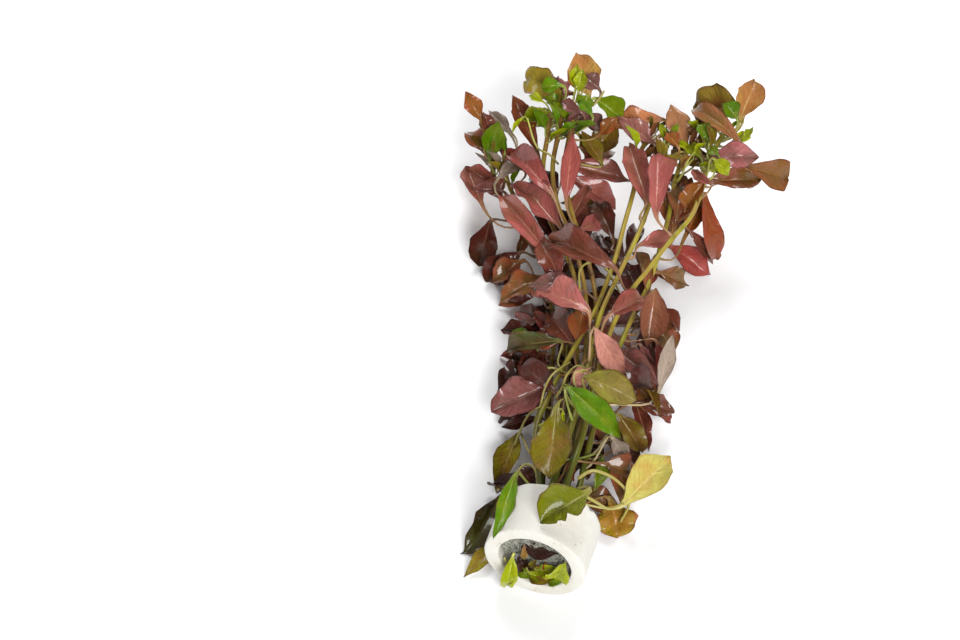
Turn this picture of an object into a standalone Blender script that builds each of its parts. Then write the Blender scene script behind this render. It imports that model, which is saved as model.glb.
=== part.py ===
# A lying bunch of a red-leaved aquarium stem plant: nine stems with their leaves,
# wrapped in mineral wool and held in a short ring of porous ceramic.
# Metres, +Z up. The origin is on the flat that the ring rests on, 10 mm behind the ring's
# open end, and +Y runs along the ring's axis towards the tips of the stems.
# The routes and leaves are written in millimetres and turned into metres as they are read.

import math
import random

import bpy
import bmesh
from mathutils import Quaternion, Vector
from mathutils.bvhtree import BVHTree

MM = 0.001

# Ring and wool
RING_OUTER_DIAMETER = 30 * MM
RING_BORE_DIAMETER = 21.5 * MM
RING_FRONT = -10 * MM
RING_BACK = 7.6 * MM
RING_SIDES = 36
RING_CHAMFER = 0.6 * MM
WOOL_INNER_DIAMETER = 14.6 * MM
WOOL_FRONT_INSET = 4 * MM
WOOL_BACK_INSET = 1 * MM
WOOL_SIDES = 24
GAP = 0.3 * MM

# Stems and leaves
STEM_FOOT_RADIUS = 1.25 * MM
STEM_TOP_RADIUS = 0.95 * MM
STEM_SIDES = 6
STEM_STEP = 9 * MM
PETIOLE_RADIUS = 0.5 * MM
BLADE_THICKNESS = 0.8 * MM
BLADE_WIDEST_AT = 0.5
BLADE_TAPER = 1.3
BLADE_POINT = 0.9
TIP_SIZE = 0.15 * MM
LEAF_STEPS = (3, 6)
SHOOT_STEPS = (2, 4)
FRONT = Vector((0.2, -0.62, 0.76))

# Room kept round each leaf, and the small changes of place that make it
TEST_CLEARANCE = 0.35 * MM
TABLE_CLEARANCE = 0.15 * MM
RISES = (0, 1, -1, 2, -2, 3.5, -3.5, 5, -5, 7)
TIP_RISES = (0, 2, -2, 4, -4)
ROLLS = (0, 20, -20, 40, -40)
TIP_RISE_COST = 0.6
ROLL_COST = 0.06

# The leaves low in the bunch, in millimetres and degrees, and the side each stem bears them on
UNDER_START = 26
UNDER_STEP = 20
UNDER_LEVELS = 4
UNDER_SIDES = {"l1": -1, "l2": 1, "m1": -1, "m2": -1, "m3": 1, "r1": -1, "r3": 1, "r4": 1}
UNDER_STALK = (6, 9)
UNDER_LENGTH = (16, 22)
UNDER_WIDTH = (9, 12)
UNDER_TURN = (40, 125)
UNDER_DROP = (2, 9)
UNDER_CUP = (15, 40)
UNDER_LEFT = -32
UNDER_RIGHT = 18
UNDER_LOWEST = 2.5
UNDER_HIGHEST = 18

# Each stem's route in millimetres, from its cut end in the ring to its crown.
STEMS = {
    "l1": ((-5.2, -4, 12.9), (-5.2, 12, 12.9), (-10, 34, 11.5), (-15.5, 58, 10.5), (-21, 80, 9.8),
           (-30, 103, 9), (-42, 117, 9), (-52, 127, 11), (-58, 134, 14), (-60, 139, 20)),
    "l2": ((-1.7, -5, 11.5), (-1.7, 12, 11.5), (-5.8, 34, 11.5), (-10.5, 58, 12.3), (-16, 78, 13),
           (-25, 100, 13), (-35, 113, 13.5), (-47, 125, 15), (-53, 132, 18), (-55.5, 137, 24)),
    "m1": ((1.8, -4.5, 12), (1.8, 12, 12), (-1.5, 34, 12), (-7, 58, 13.3), (-11.5, 73, 14.5),
           (-19, 96, 17.5), (-29, 109, 21), (-36.5, 119, 24), (-39.8, 129, 29), (-41.5, 140, 34.5),
           (-43, 147, 37)),
    "m2": ((-1.4, -5, 15.5), (-1.4, 12, 15.5), (-4.5, 34, 16.3), (-5.8, 58, 17.5), (-8.5, 73, 17),
           (-14, 90, 20), (-23, 107, 23), (-31.5, 118, 26), (-36.5, 129, 31), (-38, 142, 36.5),
           (-39.5, 149, 38.5)),
    "m3": ((2.2, -4, 15.8), (2.2, 12, 15.8), (-0.8, 34, 16), (-2.6, 58, 16), (-5.3, 73, 16.5),
           (-11.3, 92.5, 17.3), (-19.4, 107.5, 20.5), (-25.6, 115.4, 25.3), (-32.6, 129, 30),
           (-34.5, 144, 37), (-35, 151, 39)),
    "r1": ((-4.6, -4.5, 16.7), (-4.6, 12, 16.7), (-13, 34, 15), (-13.3, 50, 15.8), (-11, 66, 18.5),
           (-8.2, 82, 22), (-7.5, 100, 25), (-8.3, 114.5, 27), (-9.2, 130, 29), (-11, 142, 32),
           (-9, 150, 34)),
    "r2": ((-2.2, -5, 19.3), (-2.2, 12, 19.3), (-2.5, 34, 20.3), (-4, 58, 21.5), (-5.6, 77, 24.6),
           (-4.2, 94, 27), (-2.7, 109, 29), (-2.5, 124, 30), (-2.5, 138, 33), (-3, 146, 36)),
    "r3": ((1.6, -4.2, 19.8), (1.6, 12, 19.8), (1.5, 34, 21), (-0.5, 58, 22.8), (-0.6, 75, 25.5),
           (1.7, 88, 28.2), (4.3, 95, 30), (8.2, 107.6, 32), (12, 117.3, 34), (12.7, 127, 35),
           (12.3, 137.7, 37), (13, 145, 39.5), (14.5, 151, 41)),
    "r4": ((5.3, -4.8, 14.2), (5.3, 12, 14.2), (3.5, 34, 15.5), (2, 58, 17), (2.5, 80, 18),
           (4.6, 99, 21), (4.1, 122, 25), (2.6, 137, 29), (3.4, 144, 33), (5, 149, 36)),
}

# Colour and roughness of each kind of leaf
LOOKS = {
    "wine": ((0.30, 0.075, 0.07), 0.32),
    "pink": ((0.50, 0.17, 0.16), 0.38),
    "mauve": ((0.33, 0.15, 0.15), 0.4),
    "brown": ((0.24, 0.08, 0.04), 0.32),
    "dark": ((0.075, 0.03, 0.025), 0.35),
    "orange": ((0.45, 0.15, 0.05), 0.35),
    "salmon": ((0.62, 0.28, 0.22), 0.42),
    "olive": ((0.25, 0.21, 0.03), 0.33),
    "green": ((0.12, 0.30, 0.015), 0.3),
    "lime": ((0.33, 0.45, 0.03), 0.35),
    "yellow": ((0.72, 0.60, 0.17), 0.38),
    "grey": ((0.35, 0.30, 0.28), 0.35),
}
STEM_COLOUR = (0.33, 0.33, 0.05)
STEM_ROUGHNESS = 0.4
RING_COLOUR = (0.82, 0.80, 0.76)
WOOL_COLOUR = (0.42, 0.42, 0.38)
CHALKY_ROUGHNESS = 0.9


def leaf(stem, at, base, tip, width, look, **form):
    """One leaf: its stem, where along the bunch it grows, and its blade, in millimetres."""
    row = {"stem": stem, "at": at * MM, "base": Vector(base) * MM, "tip": Vector(tip) * MM,
           "width": width * MM, "look": look, "roll": 0, "bend": 20, "sway": 0, "cup": 25,
           "twist": 0, "fold": 0, "fold_at": 0.7, "lies": False, "face": 0.6}
    row.update(form)
    return row


# Large leaves, each a piece of its own
LEAVES = [
    leaf("m2", 147, (-41, 154, 38), (-56, 156.5, 42), 10, "olive", fold=40, cup=15),
    leaf("m3", 149, (-33, 157.5, 39), (-41, 169.5, 45), 10.5, "orange", cup=20),
    leaf("m3", 147, (-29, 154.5, 40), (-20, 153, 35), 12, "green", cup=35),
    leaf("m1", 128, (-45, 139, 27), (-58, 154, 33), 8, "brown", fold=-40, bend=10),
    leaf("m3", 143, (-22, 154, 32), (-27, 145, 24), 10.5, "olive"),
    leaf("m3", 110, (-28.5, 117.5, 30.5), (-32.5, 137.5, 40.5), 8.5, "pink", cup=40),
    leaf("m3", 126, (-32, 137, 25.5), (-13, 141.5, 19), 11, "pink"),
    leaf("m2", 122, (-32, 136.5, 20), (-16.5, 138.5, 8), 11.5, "pink", cup=30),
    leaf("r1", 147, (-7, 156, 36), (-24, 151, 34), 9, "orange"),
    leaf("r2", 142, (-8, 146, 35), (-21, 151, 37), 9, "pink"),
    leaf("r2", 116, (-3.5, 122.5, 31), (-15.5, 143, 35), 10.5, "pink", cup=35),
    leaf("r3", 109, (1.5, 114.5, 36), (-4, 137, 40), 12, "pink", cup=40),
    leaf("r4", 143, (3, 146, 36), (-5.5, 158, 41), 10, "brown"),
    leaf("r3", 148, (16.5, 162.5, 40), (0.5, 164, 38), 13, "olive"),
    leaf("r3", 149, (18, 159.5, 42), (19.5, 172.5, 48), 9.5, "orange"),
    leaf("r3", 144, (19.5, 148, 42), (0, 159.5, 42), 9, "brown", bend=50),
    leaf("r3", 138, (13.5, 140, 40), (28, 143.5, 41), 9.5, "mauve"),
    leaf("r3", 141, (24, 143, 36), (37.5, 150.5, 28), 11.5, "orange", fold=-20),
    leaf("r3", 130, (13.5, 136, 33), (29.5, 145, 30), 9, "brown"),
    leaf("r3", 127, (13.5, 132.5, 32), (23.5, 125.5, 9), 8.5, "orange", cup=15, sway=25),
    leaf("r3", 113, (11, 126, 20), (21, 125, 8), 5.5, "wine"),
    leaf("r4", 112, (5.5, 128.5, 7.5), (20, 125.5, 1), 11, "wine", lies=True),
    leaf("r2", 101, (-1, 108.5, 28.5), (8, 115.5, 26), 8, "pink"),
    leaf("r4", 114, (6, 127, 20), (6, 143, 25), 10.5, "brown"),
    leaf("r3", 88, (-6.5, 92.5, 31), (-31, 103.5, 25), 13.5, "wine", cup=35),
    leaf("r2", 70, (-10, 76.5, 27), (-28.5, 85, 22), 15, "pink", cup=30),
    leaf("r2", 66, (-1.5, 75.5, 29), (6.5, 85, 29), 9.5, "pink"),
    leaf("r4", 87, (7.5, 93.5, 23), (9.5, 79, 12), 14, "brown", cup=45),
    leaf("r4", 84, (8, 95, 13), (17, 93, 8), 9, "wine", cup=60),
    leaf("r1", 74, (-11.5, 79, 23), (-10.5, 68, 19), 8.5, "orange"),
    leaf("r2", 60, (-4.5, 67.5, 29), (8.5, 57, 22), 9, "salmon", bend=-10, twist=20),
    leaf("l1", 82, (-27, 94.5, 4), (-27, 78.5, 1), 11.5, "dark", lies=True),
    leaf("r1", 59, (-16.5, 69, 18), (-33.5, 66, 11), 12, "olive", cup=40),
    leaf("l1", 56, (-16.5, 71, 5.5), (-36, 71.5, 1), 9, "pink", cup=50, lies=True),
    leaf("l2", 42, (-15.5, 53.5, 14), (-29.5, 43.5, 8), 13.5, "mauve", bend=30),
    leaf("l1", 28, (-20, 38, 7), (-21, 19, 1), 9, "olive", lies=True),
    leaf("r1", 14, (-15, 19, 15), (-17, 2.5, 5), 7.5, "green", roll=-60, cup=40),
    leaf("l1", 14, (-19, 14.5, 5), (-23, -5, 1), 11, "dark", lies=True, cup=30),
    leaf("m2", 46, (-8, 37.5, 24.5), (-3.5, 15, 21), 16, "olive", cup=20),
    leaf("r2", 38, (-6, 44, 28), (13, 34, 24), 12.5, "green", bend=35),
    leaf("r3", 46, (-2.5, 50.5, 27), (14, 48, 25), 11.5, "olive", bend=35),
    leaf("r4", 14, (19, 19.5, 14), (27.5, 39, 16), 15, "yellow", cup=15),
    leaf("m1", 13, (14, 23.5, 6), (18.5, 15.5, 1), 12, "orange", lies=True),
    leaf("r3", 12, (10, 4.5, 33.5), (0.5, -7.5, 31.5), 13, "olive", cup=20, bend=30),
    leaf("r4", 44, (11, 60.5, 9.5), (19.5, 49, 1), 9, "wine", cup=50, lies=True),
    leaf("m2", 110, (-34.5, 119, 30), (-54.5, 138, 25), 12.5, "pink", cup=35),
    leaf("l2", 96, (-29.5, 102, 19), (-51.5, 120.5, 21), 12, "pink", cup=40),
    leaf("l1", 122, (-54.5, 118.5, 9.5), (-54.5, 106.5, 1), 11.5, "dark", lies=True),
    leaf("l1", 109, (-41.5, 109, 9), (-49.5, 100.5, 1), 11, "dark", lies=True),
]

# Small and hidden leaves, grown in one with their stems
SHOOTS = [
    leaf("m3", 150, (-40, 159, 36), (-51, 157, 33), 10.5, "brown"),
    leaf("m3", 150, (-30, 159, 41), (-36, 160, 44), 7, "mauve"),
    leaf("m2", 148, (-37, 156, 42), (-38, 161, 48), 5, "green"),
    leaf("m1", 145, (-41, 151, 39), (-47, 149, 38), 7, "green"),
    leaf("m1", 143, (-41, 146, 37), (-53, 145, 34), 10.5, "lime", cup=40),
    leaf("m3", 148, (-32, 153, 40), (-33, 149, 35), 7, "green"),
    leaf("m3", 141, (-33, 152, 34), (-26, 153, 28), 8, "dark"),
    leaf("m2", 138, (-32, 147, 31), (-26, 146, 22), 9, "olive"),
    leaf("r3", 148, (17, 155, 45), (12, 156, 49), 7, "green"),
    leaf("r3", 146, (17, 151, 39), (23, 156, 42), 4.5, "lime"),
    leaf("r3", 144, (9, 147, 41), (7, 151, 45), 4.5, "lime"),
    leaf("r3", 137, (9, 141, 38), (4, 144, 38), 5.5, "lime"),
    leaf("r4", 142, (5, 148, 32), (-2, 150, 30), 9, "olive"),
    leaf("r4", 98, (6, 110, 14), (14, 114, 6), 8, "brown"),
    leaf("r4", 108, (10, 127, 18), (13, 140, 23), 9, "orange"),
    leaf("l2", 84, (-24, 95, 17), (-34, 106, 17), 10.5, "wine"),
    leaf("l1", 66, (-24, 75, 9), (-37, 76, 7), 9, "green"),
    leaf("l1", 40, (-17, 52, 8), (-28, 44, 3), 10.5, "dark"),
    leaf("l1", 11, (-15, 0, 3), (-20.5, -12, 2.5), 5.5, "lime"),
    leaf("r2", 46, (-3, 55, 25), (-7, 49, 23), 7, "salmon"),
    leaf("r4", 26, (10, 38, 17), (15, 33, 13), 7, "grey"),
    leaf("r4", 30, (13, 38, 12), (17, 22, 9), 9, "brown"),
    leaf("r4", 36, (12, 44, 8), (19, 33, 4), 9, "mauve"),
    leaf("r4", 46, (14, 57, 8), (24, 59, 5), 9, "wine"),
    leaf("r4", 50, (18, 61, 9), (17, 79, 15), 5.5, "grey"),
    leaf("m3", 56, (11, 64, 12), (19, 57, 8), 9, "brown"),
    leaf("m3", 66, (7, 88, 12), (15, 72, 7), 10.5, "dark"),
    leaf("r4", 78, (9, 97, 9), (16, 83, 4), 10.5, "brown"),
    leaf("m1", 100, (-29, 110, 24), (-50, 125, 24), 10.5, "pink"),
    leaf("l2", 88, (-31, 98, 8), (-42, 88, 4), 10.5, "brown"),
    leaf("m1", 116, (-37, 127, 17), (-46, 136, 19), 10.5, "dark"),
    leaf("m1", 104, (-30, 113, 14), (-38, 125, 15), 10.5, "dark"),
    leaf("r1", 104, (-12, 115, 20), (-22, 130, 19), 8, "dark"),
    leaf("m3", 98, (-21, 109, 26), (-17, 118, 22), 7, "pink"),
    leaf("l1", 135, (-60.5, 137, 21), (-61, 148, 27), 9, "green"),
    leaf("l1", 137, (-67, 147, 27), (-74, 152, 33), 7, "brown"),
    leaf("l2", 134, (-58, 150, 21), (-67, 156, 23), 5.5, "grey"),
    leaf("l1", 130, (-65, 143, 17), (-73, 151, 17), 9, "brown"),
    leaf("l1", 120, (-60, 126, 10), (-70, 140, 11), 9, "pink"),
]


def under_leaves():
    """Leaves low in the bunch: each stem bears some on its own side of the bunch."""
    rng = random.Random(7)
    rows = []
    for name, side in UNDER_SIDES.items():
        for step in range(UNDER_LEVELS):
            level = UNDER_START + UNDER_STEP * (step + rng.uniform(-0.3, 0.3))
            x, z = level_on(STEMS[name], level)
            heading = math.radians(side * rng.uniform(*UNDER_TURN))
            away = Vector((math.sin(heading), math.cos(heading), 0))
            base = Vector((x, level, min(z, UNDER_HIGHEST))) + away * rng.uniform(*UNDER_STALK)
            base.z += rng.uniform(-4, 0)
            tip = base + away * rng.uniform(*UNDER_LENGTH)
            tip.x = min(max(tip.x, UNDER_LEFT), UNDER_RIGHT)
            tip.z = max(base.z - rng.uniform(*UNDER_DROP), UNDER_LOWEST)
            look = rng.choice(("dark", "brown", "wine", "dark", "mauve", "olive"))
            rows.append(leaf(name, level - 3, base, tip, rng.uniform(*UNDER_WIDTH), look,
                             face=0.2, cup=rng.uniform(*UNDER_CUP), roll=rng.uniform(-25, 25)))
    return rows


def level_on(points, level):
    """Where the straight line between a route's points is, at a distance along +Y."""
    for (x0, y0, z0), (x1, y1, z1) in zip(points, points[1:]):
        if y0 <= level <= y1:
            part = (level - y0) / (y1 - y0)
            return x0 + (x1 - x0) * part, z0 + (z1 - z0) * part
    return points[-1][0], points[-1][2]


def clear_scene():
    for item in list(bpy.data.objects):
        bpy.data.objects.remove(item, do_unlink=True)


def make_material(name, colour, roughness):
    material = bpy.data.materials.new(name)
    material.use_nodes = True
    shader = material.node_tree.nodes["Principled BSDF"]
    shader.inputs["Base Color"].default_value = (*colour, 1)
    shader.inputs["Roughness"].default_value = roughness
    shader.inputs["Metallic"].default_value = 0
    material.diffuse_color = (*colour, 1)
    return material


def add_object(name, bm, colour, roughness, smooth=True):
    bmesh.ops.recalc_face_normals(bm, faces=bm.faces)
    mesh = bpy.data.meshes.new(name)
    bm.to_mesh(mesh)
    bm.free()
    if smooth:
        mesh.shade_smooth()
    mesh.materials.append(make_material(name, colour, roughness))
    piece = bpy.data.objects.new(name, mesh)
    bpy.context.scene.collection.objects.link(piece)
    return piece


def turned_ring(name, profile, sides, centre_height, colour):
    """A ring turned about the Y axis from a closed profile of (radius, along) points."""
    bm = bmesh.new()
    half_side = math.pi / sides
    start = [bm.verts.new((radius * math.sin(half_side), along, -radius * math.cos(half_side)))
             for radius, along in profile]
    edges = [bm.edges.new((start[i], start[(i + 1) % len(start)])) for i in range(len(start))]
    bmesh.ops.spin(bm, geom=start + edges, cent=(0, 0, 0), axis=(0, 1, 0), angle=2 * math.pi,
                   steps=sides, use_merge=True)
    bmesh.ops.translate(bm, verts=bm.verts, vec=(0, 0, centre_height))
    return add_object(name, bm, colour, CHALKY_ROUGHNESS, smooth=False)


def build_ring():
    """The ring rests on one of its flats, so its axis is one inner radius above the table."""
    outer = RING_OUTER_DIAMETER / 2
    bore = RING_BORE_DIAMETER / 2
    chamfered = RING_BACK - RING_CHAMFER
    profile = ((outer, RING_FRONT), (outer, chamfered), (outer - RING_CHAMFER, RING_BACK),
               (bore + RING_CHAMFER, RING_BACK), (bore, chamfered), (bore, RING_FRONT))
    return turned_ring("ring", profile, RING_SIDES, ring_axis_height(), RING_COLOUR)


def ring_axis_height():
    return RING_OUTER_DIAMETER / 2 * math.cos(math.pi / RING_SIDES)


def build_wool():
    """The wrap of wool between the ring and the stems, set back from both ends."""
    outer = RING_BORE_DIAMETER / 2 * math.cos(math.pi / RING_SIDES) - GAP
    inner = WOOL_INNER_DIAMETER / 2 / math.cos(math.pi / WOOL_SIDES)
    front = RING_FRONT + WOOL_FRONT_INSET
    back = RING_BACK - WOOL_BACK_INSET
    profile = ((outer, front), (outer, back), (inner, back), (inner, front))
    return turned_ring("wool", profile, WOOL_SIDES, ring_axis_height(), WOOL_COLOUR)


def smooth_route(points, step):
    """Points about a step apart on a smooth curve through the given points."""
    points = [Vector(p) * MM for p in points]
    padded = [points[0] * 2 - points[1]] + points + [points[-1] * 2 - points[-2]]
    route = []
    for i in range(1, len(padded) - 2):
        before, start, end, after = padded[i - 1:i + 3]
        count = max(1, round((end - start).length / step))
        for k in range(count):
            t = k / count
            route.append(0.5 * (2 * start + (end - before) * t
                                + (2 * before - 5 * start + 4 * end - after) * t * t
                                + (3 * start - before - 3 * end + after) * t ** 3))
    route.append(padded[-2])
    return route


def stem_radius(route, i):
    return STEM_FOOT_RADIUS + (STEM_TOP_RADIUS - STEM_FOOT_RADIUS) * i / (len(route) - 1)


def direction_at(route, i):
    ahead = route[min(i + 1, len(route) - 1)]
    behind = route[max(i - 1, 0)]
    return (ahead - behind).normalized()


def stem_sections(route, swell=0.0):
    """Rings of points square to the stem, one at each point of its route."""
    sections = []
    for i, centre in enumerate(route):
        along = direction_at(route, i)
        side = along.cross(Vector((0, 0, 1))).normalized()
        rise = along.cross(side)
        radius = stem_radius(route, i) + swell
        turns = [2 * math.pi * k / STEM_SIDES for k in range(STEM_SIDES)]
        sections.append([centre + radius * (math.cos(a) * side + math.sin(a) * rise) for a in turns])
    return sections


def segment_at(route, level):
    """The stretch of a stem that reaches a distance along +Y, and how far along it that is."""
    last = len(route) - 2
    for i in range(len(route) - 1):
        if route[i].y <= level <= route[i + 1].y or i == last:
            part = (level - route[i].y) / (route[i + 1].y - route[i].y)
            return i, min(max(part, 0.15), 0.85)


def seat_on_surface(row, route):
    """Where a leaf with its own body starts: just off the stem, on the side of its blade."""
    i, part = segment_at(route, row["at"])
    anchor = route[i].lerp(route[i + 1], part)
    along = direction_at(route, i)
    outward = row["base"] - anchor
    outward = (outward - outward.dot(along) * along).normalized()
    return anchor + outward * (stem_radius(route, i) + GAP), outward, along


def seat_on_face(row, route, rings, taken):
    """The free side of the stem that looks most towards the blade, for a leaf grown from it."""
    i, part = segment_at(route, row["at"])
    anchor = route[i].lerp(route[i + 1], part)
    along = direction_at(route, i)
    want = (row["base"] - anchor).normalized()
    best = None
    for k in range(STEM_SIDES):
        if (i, k) in taken:
            continue
        near = (rings[i][k] + rings[i][(k + 1) % STEM_SIDES]) / 2
        far = (rings[i + 1][k] + rings[i + 1][(k + 1) % STEM_SIDES]) / 2
        root = near.lerp(far, part)
        outward = root - anchor
        outward = (outward - outward.dot(along) * along).normalized()
        if best is None or outward.dot(want) > best[0]:
            best = (outward.dot(want), (i, k), root, outward)
    return best[1], best[2], best[3], along


def bezier(a, b, c, d, t):
    s = 1 - t
    return a * s ** 3 + b * (3 * s * s * t) + c * (3 * s * t * t) + d * t ** 3


def smooth_step(t):
    t = min(max(t, 0.0), 1.0)
    return t * t * (3 - 2 * t)


def outline(t):
    """Share of the full width: pointed at both ends and drawn out at the base."""
    if t < BLADE_WIDEST_AT:
        return math.sin(math.pi / 2 * t / BLADE_WIDEST_AT) ** BLADE_TAPER
    return math.sin(math.pi / 2 * (1 - t) / (1 - BLADE_WIDEST_AT)) ** BLADE_POINT


def blade_axes(row):
    """The blade's own directions: along it, across it and out of its face."""
    forward = (row["tip"] - row["base"]).normalized()
    sky = Vector((0, 0, 1)).lerp(FRONT, row["face"])
    side = Quaternion(forward, math.radians(row["roll"])) @ forward.cross(sky).normalized()
    return forward, side, side.cross(forward)


def leaf_line(row, seat, steps):
    """Points down the middle of the petiole and the blade, with their share of the blade."""
    root, outward, along = seat
    base, tip = row["base"], row["tip"]
    forward, side, normal = blade_axes(row)
    arch = math.tan(math.radians(row["bend"]) / 2)
    sway = math.tan(math.radians(row["sway"]) / 2)
    leave = (forward + normal * arch + side * sway).normalized()
    arrive = (forward - normal * arch - side * sway).normalized()
    reach = (base - root).length * 0.4
    third = (tip - base).length / 3
    stalk = (root, root + outward * reach + along * reach * 0.25, base - leave * reach, base)
    blade = (base, base + leave * third, tip - arrive * third, tip)
    line = [(bezier(*stalk, k / steps[0]), 0.0) for k in range(steps[0])]
    line += [(bezier(*blade, k / steps[1]), k / steps[1]) for k in range(steps[1] + 1)]
    return line, bezier(*blade, row["fold_at"])


def leaf_sections(row, seat, steps, swell=0.0):
    """Rings of four points along a leaf: left rim, upper middle, right rim, lower middle."""
    line, crease = leaf_line(row, seat, steps)
    side = blade_axes(row)[1]
    sections = []
    for i, (centre, t) in enumerate(line):
        ahead = line[min(i + 1, len(line) - 1)][0]
        behind = line[max(i - 1, 0)][0]
        tangent = seat[1] if i == 0 else (ahead - behind).normalized()
        across = (side - side.dot(tangent) * tangent).normalized()
        across = Quaternion(tangent, math.radians(row["twist"]) * t) @ across
        up = across.cross(tangent)
        half = max(PETIOLE_RADIUS, row["width"] / 2 * outline(t))
        thick = 2 * PETIOLE_RADIUS + (BLADE_THICKNESS - 2 * PETIOLE_RADIUS) * smooth_step(4 * t)
        if t == 1:
            half = TIP_SIZE
            thick = TIP_SIZE
        half += swell
        thick += 2 * swell
        lift = math.radians(row["cup"]) * smooth_step(3 * t)
        out = across * half * math.cos(lift)
        rise = up * half * math.sin(lift)
        ring = [centre - out + rise, centre + up * thick / 2, centre + out + rise, centre - up * thick / 2]
        if row["fold"] and t > row["fold_at"]:
            amount = smooth_step((t - row["fold_at"]) / 0.12)
            turn = Quaternion(side, -math.radians(row["fold"]) * amount)
            ring = [crease + turn @ (p - crease) for p in ring]
        sections.append(ring)
    return sections


def draw_out(bm, cap, sections):
    """Draws a face out through rings of points, turned so that it doesn't twist."""
    corners = [v.co.copy() for v in cap.verts]
    count = len(corners)

    def stretch(shift):
        return sum((corners[k] - sections[0][(k + shift) % count]).length for k in range(count))

    shift = min(range(count), key=stretch)
    for section in sections:
        cap = bmesh.ops.extrude_discrete_faces(bm, faces=[cap])["faces"][0]
        for k, vertex in enumerate(cap.verts):
            vertex.co = section[(k + shift) % count]


def loft(sections):
    """A closed tube through rings of points."""
    bm = bmesh.new()
    first = [bm.verts.new(p) for p in sections[0]]
    draw_out(bm, bm.faces.new(first), sections[1:])
    bm.faces.new(list(reversed(first)))
    return bm


def skin(sections):
    """Corner points and triangles of a lofted tube, for the overlap test."""
    count = len(sections[0])
    points = [p for section in sections for p in section]
    faces = []
    for i in range(len(sections) - 1):
        for k in range(count):
            a, b = i * count + k, i * count + (k + 1) % count
            c, d = b + count, a + count
            faces.extend(((a, b, c), (a, c, d), (a, b, d), (b, c, d)))
    return points, faces


def box_of(points):
    low = [min(p[i] for p in points) for i in range(3)]
    high = [max(p[i] for p in points) for i in range(3)]
    return low, high


def boxes_meet(one, other):
    return all(one[0][i] <= other[1][i] and other[0][i] <= one[1][i] for i in range(3))


def add_to_crowd(crowd, name, points, faces):
    crowd.append((name, box_of(points), BVHTree.FromPolygons(points, faces)))


def touches(crowd, points, faces, own_stem):
    """Whether a piece would cut one already in place, leaving out the stem that it grows from."""
    box = box_of(points)
    tree = None
    for name, other_box, other_tree in crowd:
        if name == own_stem or not boxes_meet(box, other_box):
            continue
        tree = tree or BVHTree.FromPolygons(points, faces)
        if tree.overlap(other_tree):
            return True
    return False


def small_changes():
    """Changes of place to try, the smallest first: the rise of the leaf and its tip, and its roll."""
    changes = []
    for rise in RISES:
        for tip_rise in TIP_RISES:
            for roll in ROLLS:
                cost = abs(rise) + TIP_RISE_COST * abs(tip_rise) + ROLL_COST * abs(roll)
                changes.append((cost, rise * MM, tip_rise * MM, roll))
    return sorted(changes)


def settle(row, seat, steps, crowd, own_stem):
    """Moves a leaf as little as it takes to be clear of the table and of all that is in place."""
    for _, rise, tip_rise, roll in small_changes():
        moved = dict(row)
        moved["base"] = row["base"] + Vector((0, 0, rise))
        moved["tip"] = row["tip"] + Vector((0, 0, rise + tip_rise))
        moved["roll"] = row["roll"] + roll
        if row["lies"]:
            points, _ = skin(leaf_sections(moved, seat, steps, TEST_CLEARANCE / 2))
            drop = Vector((0, 0, min(p.z for p in points) - TABLE_CLEARANCE))
            moved["base"] = moved["base"] - drop
            moved["tip"] = moved["tip"] - drop
        points, faces = skin(leaf_sections(moved, seat, steps, TEST_CLEARANCE / 2))
        if min(p.z for p in points) >= 0 and not touches(crowd, points, faces, own_stem):
            return moved, points, faces
    return None, None, None


def build_leaves(routes, crowd):
    """The large leaves, each an object; one that finds no room is left out."""
    counts = {}
    for row in LEAVES:
        stem = row["stem"]
        counts[stem] = counts.get(stem, 0) + 1
        name = "leaf_%s_%d" % (stem, counts[stem])
        seat = seat_on_surface(row, routes[stem])
        moved, points, faces = settle(row, seat, LEAF_STEPS, crowd, None)
        if moved is None:
            continue
        add_to_crowd(crowd, name, points, faces)
        colour, roughness = LOOKS[row["look"]]
        add_object(name, loft(leaf_sections(moved, seat, LEAF_STEPS)), colour, roughness)


def side_face(bm, rings, spot):
    """The face of a stem between two of its rings and two of its corners."""
    i, k = spot
    corners = [rings[i + m][(k + n) % STEM_SIDES] for m in (0, 1) for n in (0, 1)]
    middle = sum(corners, Vector()) / 4
    return min(bm.faces, key=lambda face: (face.calc_center_median() - middle).length)


def build_stem(name, route, crowd):
    """A stem with the small leaves that grow from it drawn out of its sides."""
    rings = stem_sections(route)
    bm = loft(rings)
    taken = set()
    rows = [row for row in SHOOTS + under_leaves() if row["stem"] == name]
    for row in rows:
        spot, root, outward, along = seat_on_face(row, route, rings, taken)
        seat = (root, outward, along)
        moved, points, faces = settle(row, seat, SHOOT_STEPS, crowd, "stem_" + name)
        if moved is None:
            continue
        taken.add(spot)
        add_to_crowd(crowd, "shoot of " + name, points, faces)
        draw_out(bm, side_face(bm, rings, spot), leaf_sections(moved, seat, SHOOT_STEPS))
    add_object("stem_" + name, bm, STEM_COLOUR, STEM_ROUGHNESS)


def build_all():
    clear_scene()
    crowd = []
    for piece in (build_ring(), build_wool()):
        points = [v.co.copy() for v in piece.data.vertices]
        add_to_crowd(crowd, piece.name, points, [tuple(p.vertices) for p in piece.data.polygons])
    routes = {name: smooth_route(points, STEM_STEP) for name, points in STEMS.items()}
    for name, route in routes.items():
        add_to_crowd(crowd, "stem_" + name, *skin(stem_sections(route, TEST_CLEARANCE / 2)))
    build_leaves(routes, crowd)
    for name, route in routes.items():
        build_stem(name, route, crowd)


build_all()
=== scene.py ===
import math
import random
import bmesh
import bpy
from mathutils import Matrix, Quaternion, Vector, noise
from mathutils.bvhtree import BVHTree


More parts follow.
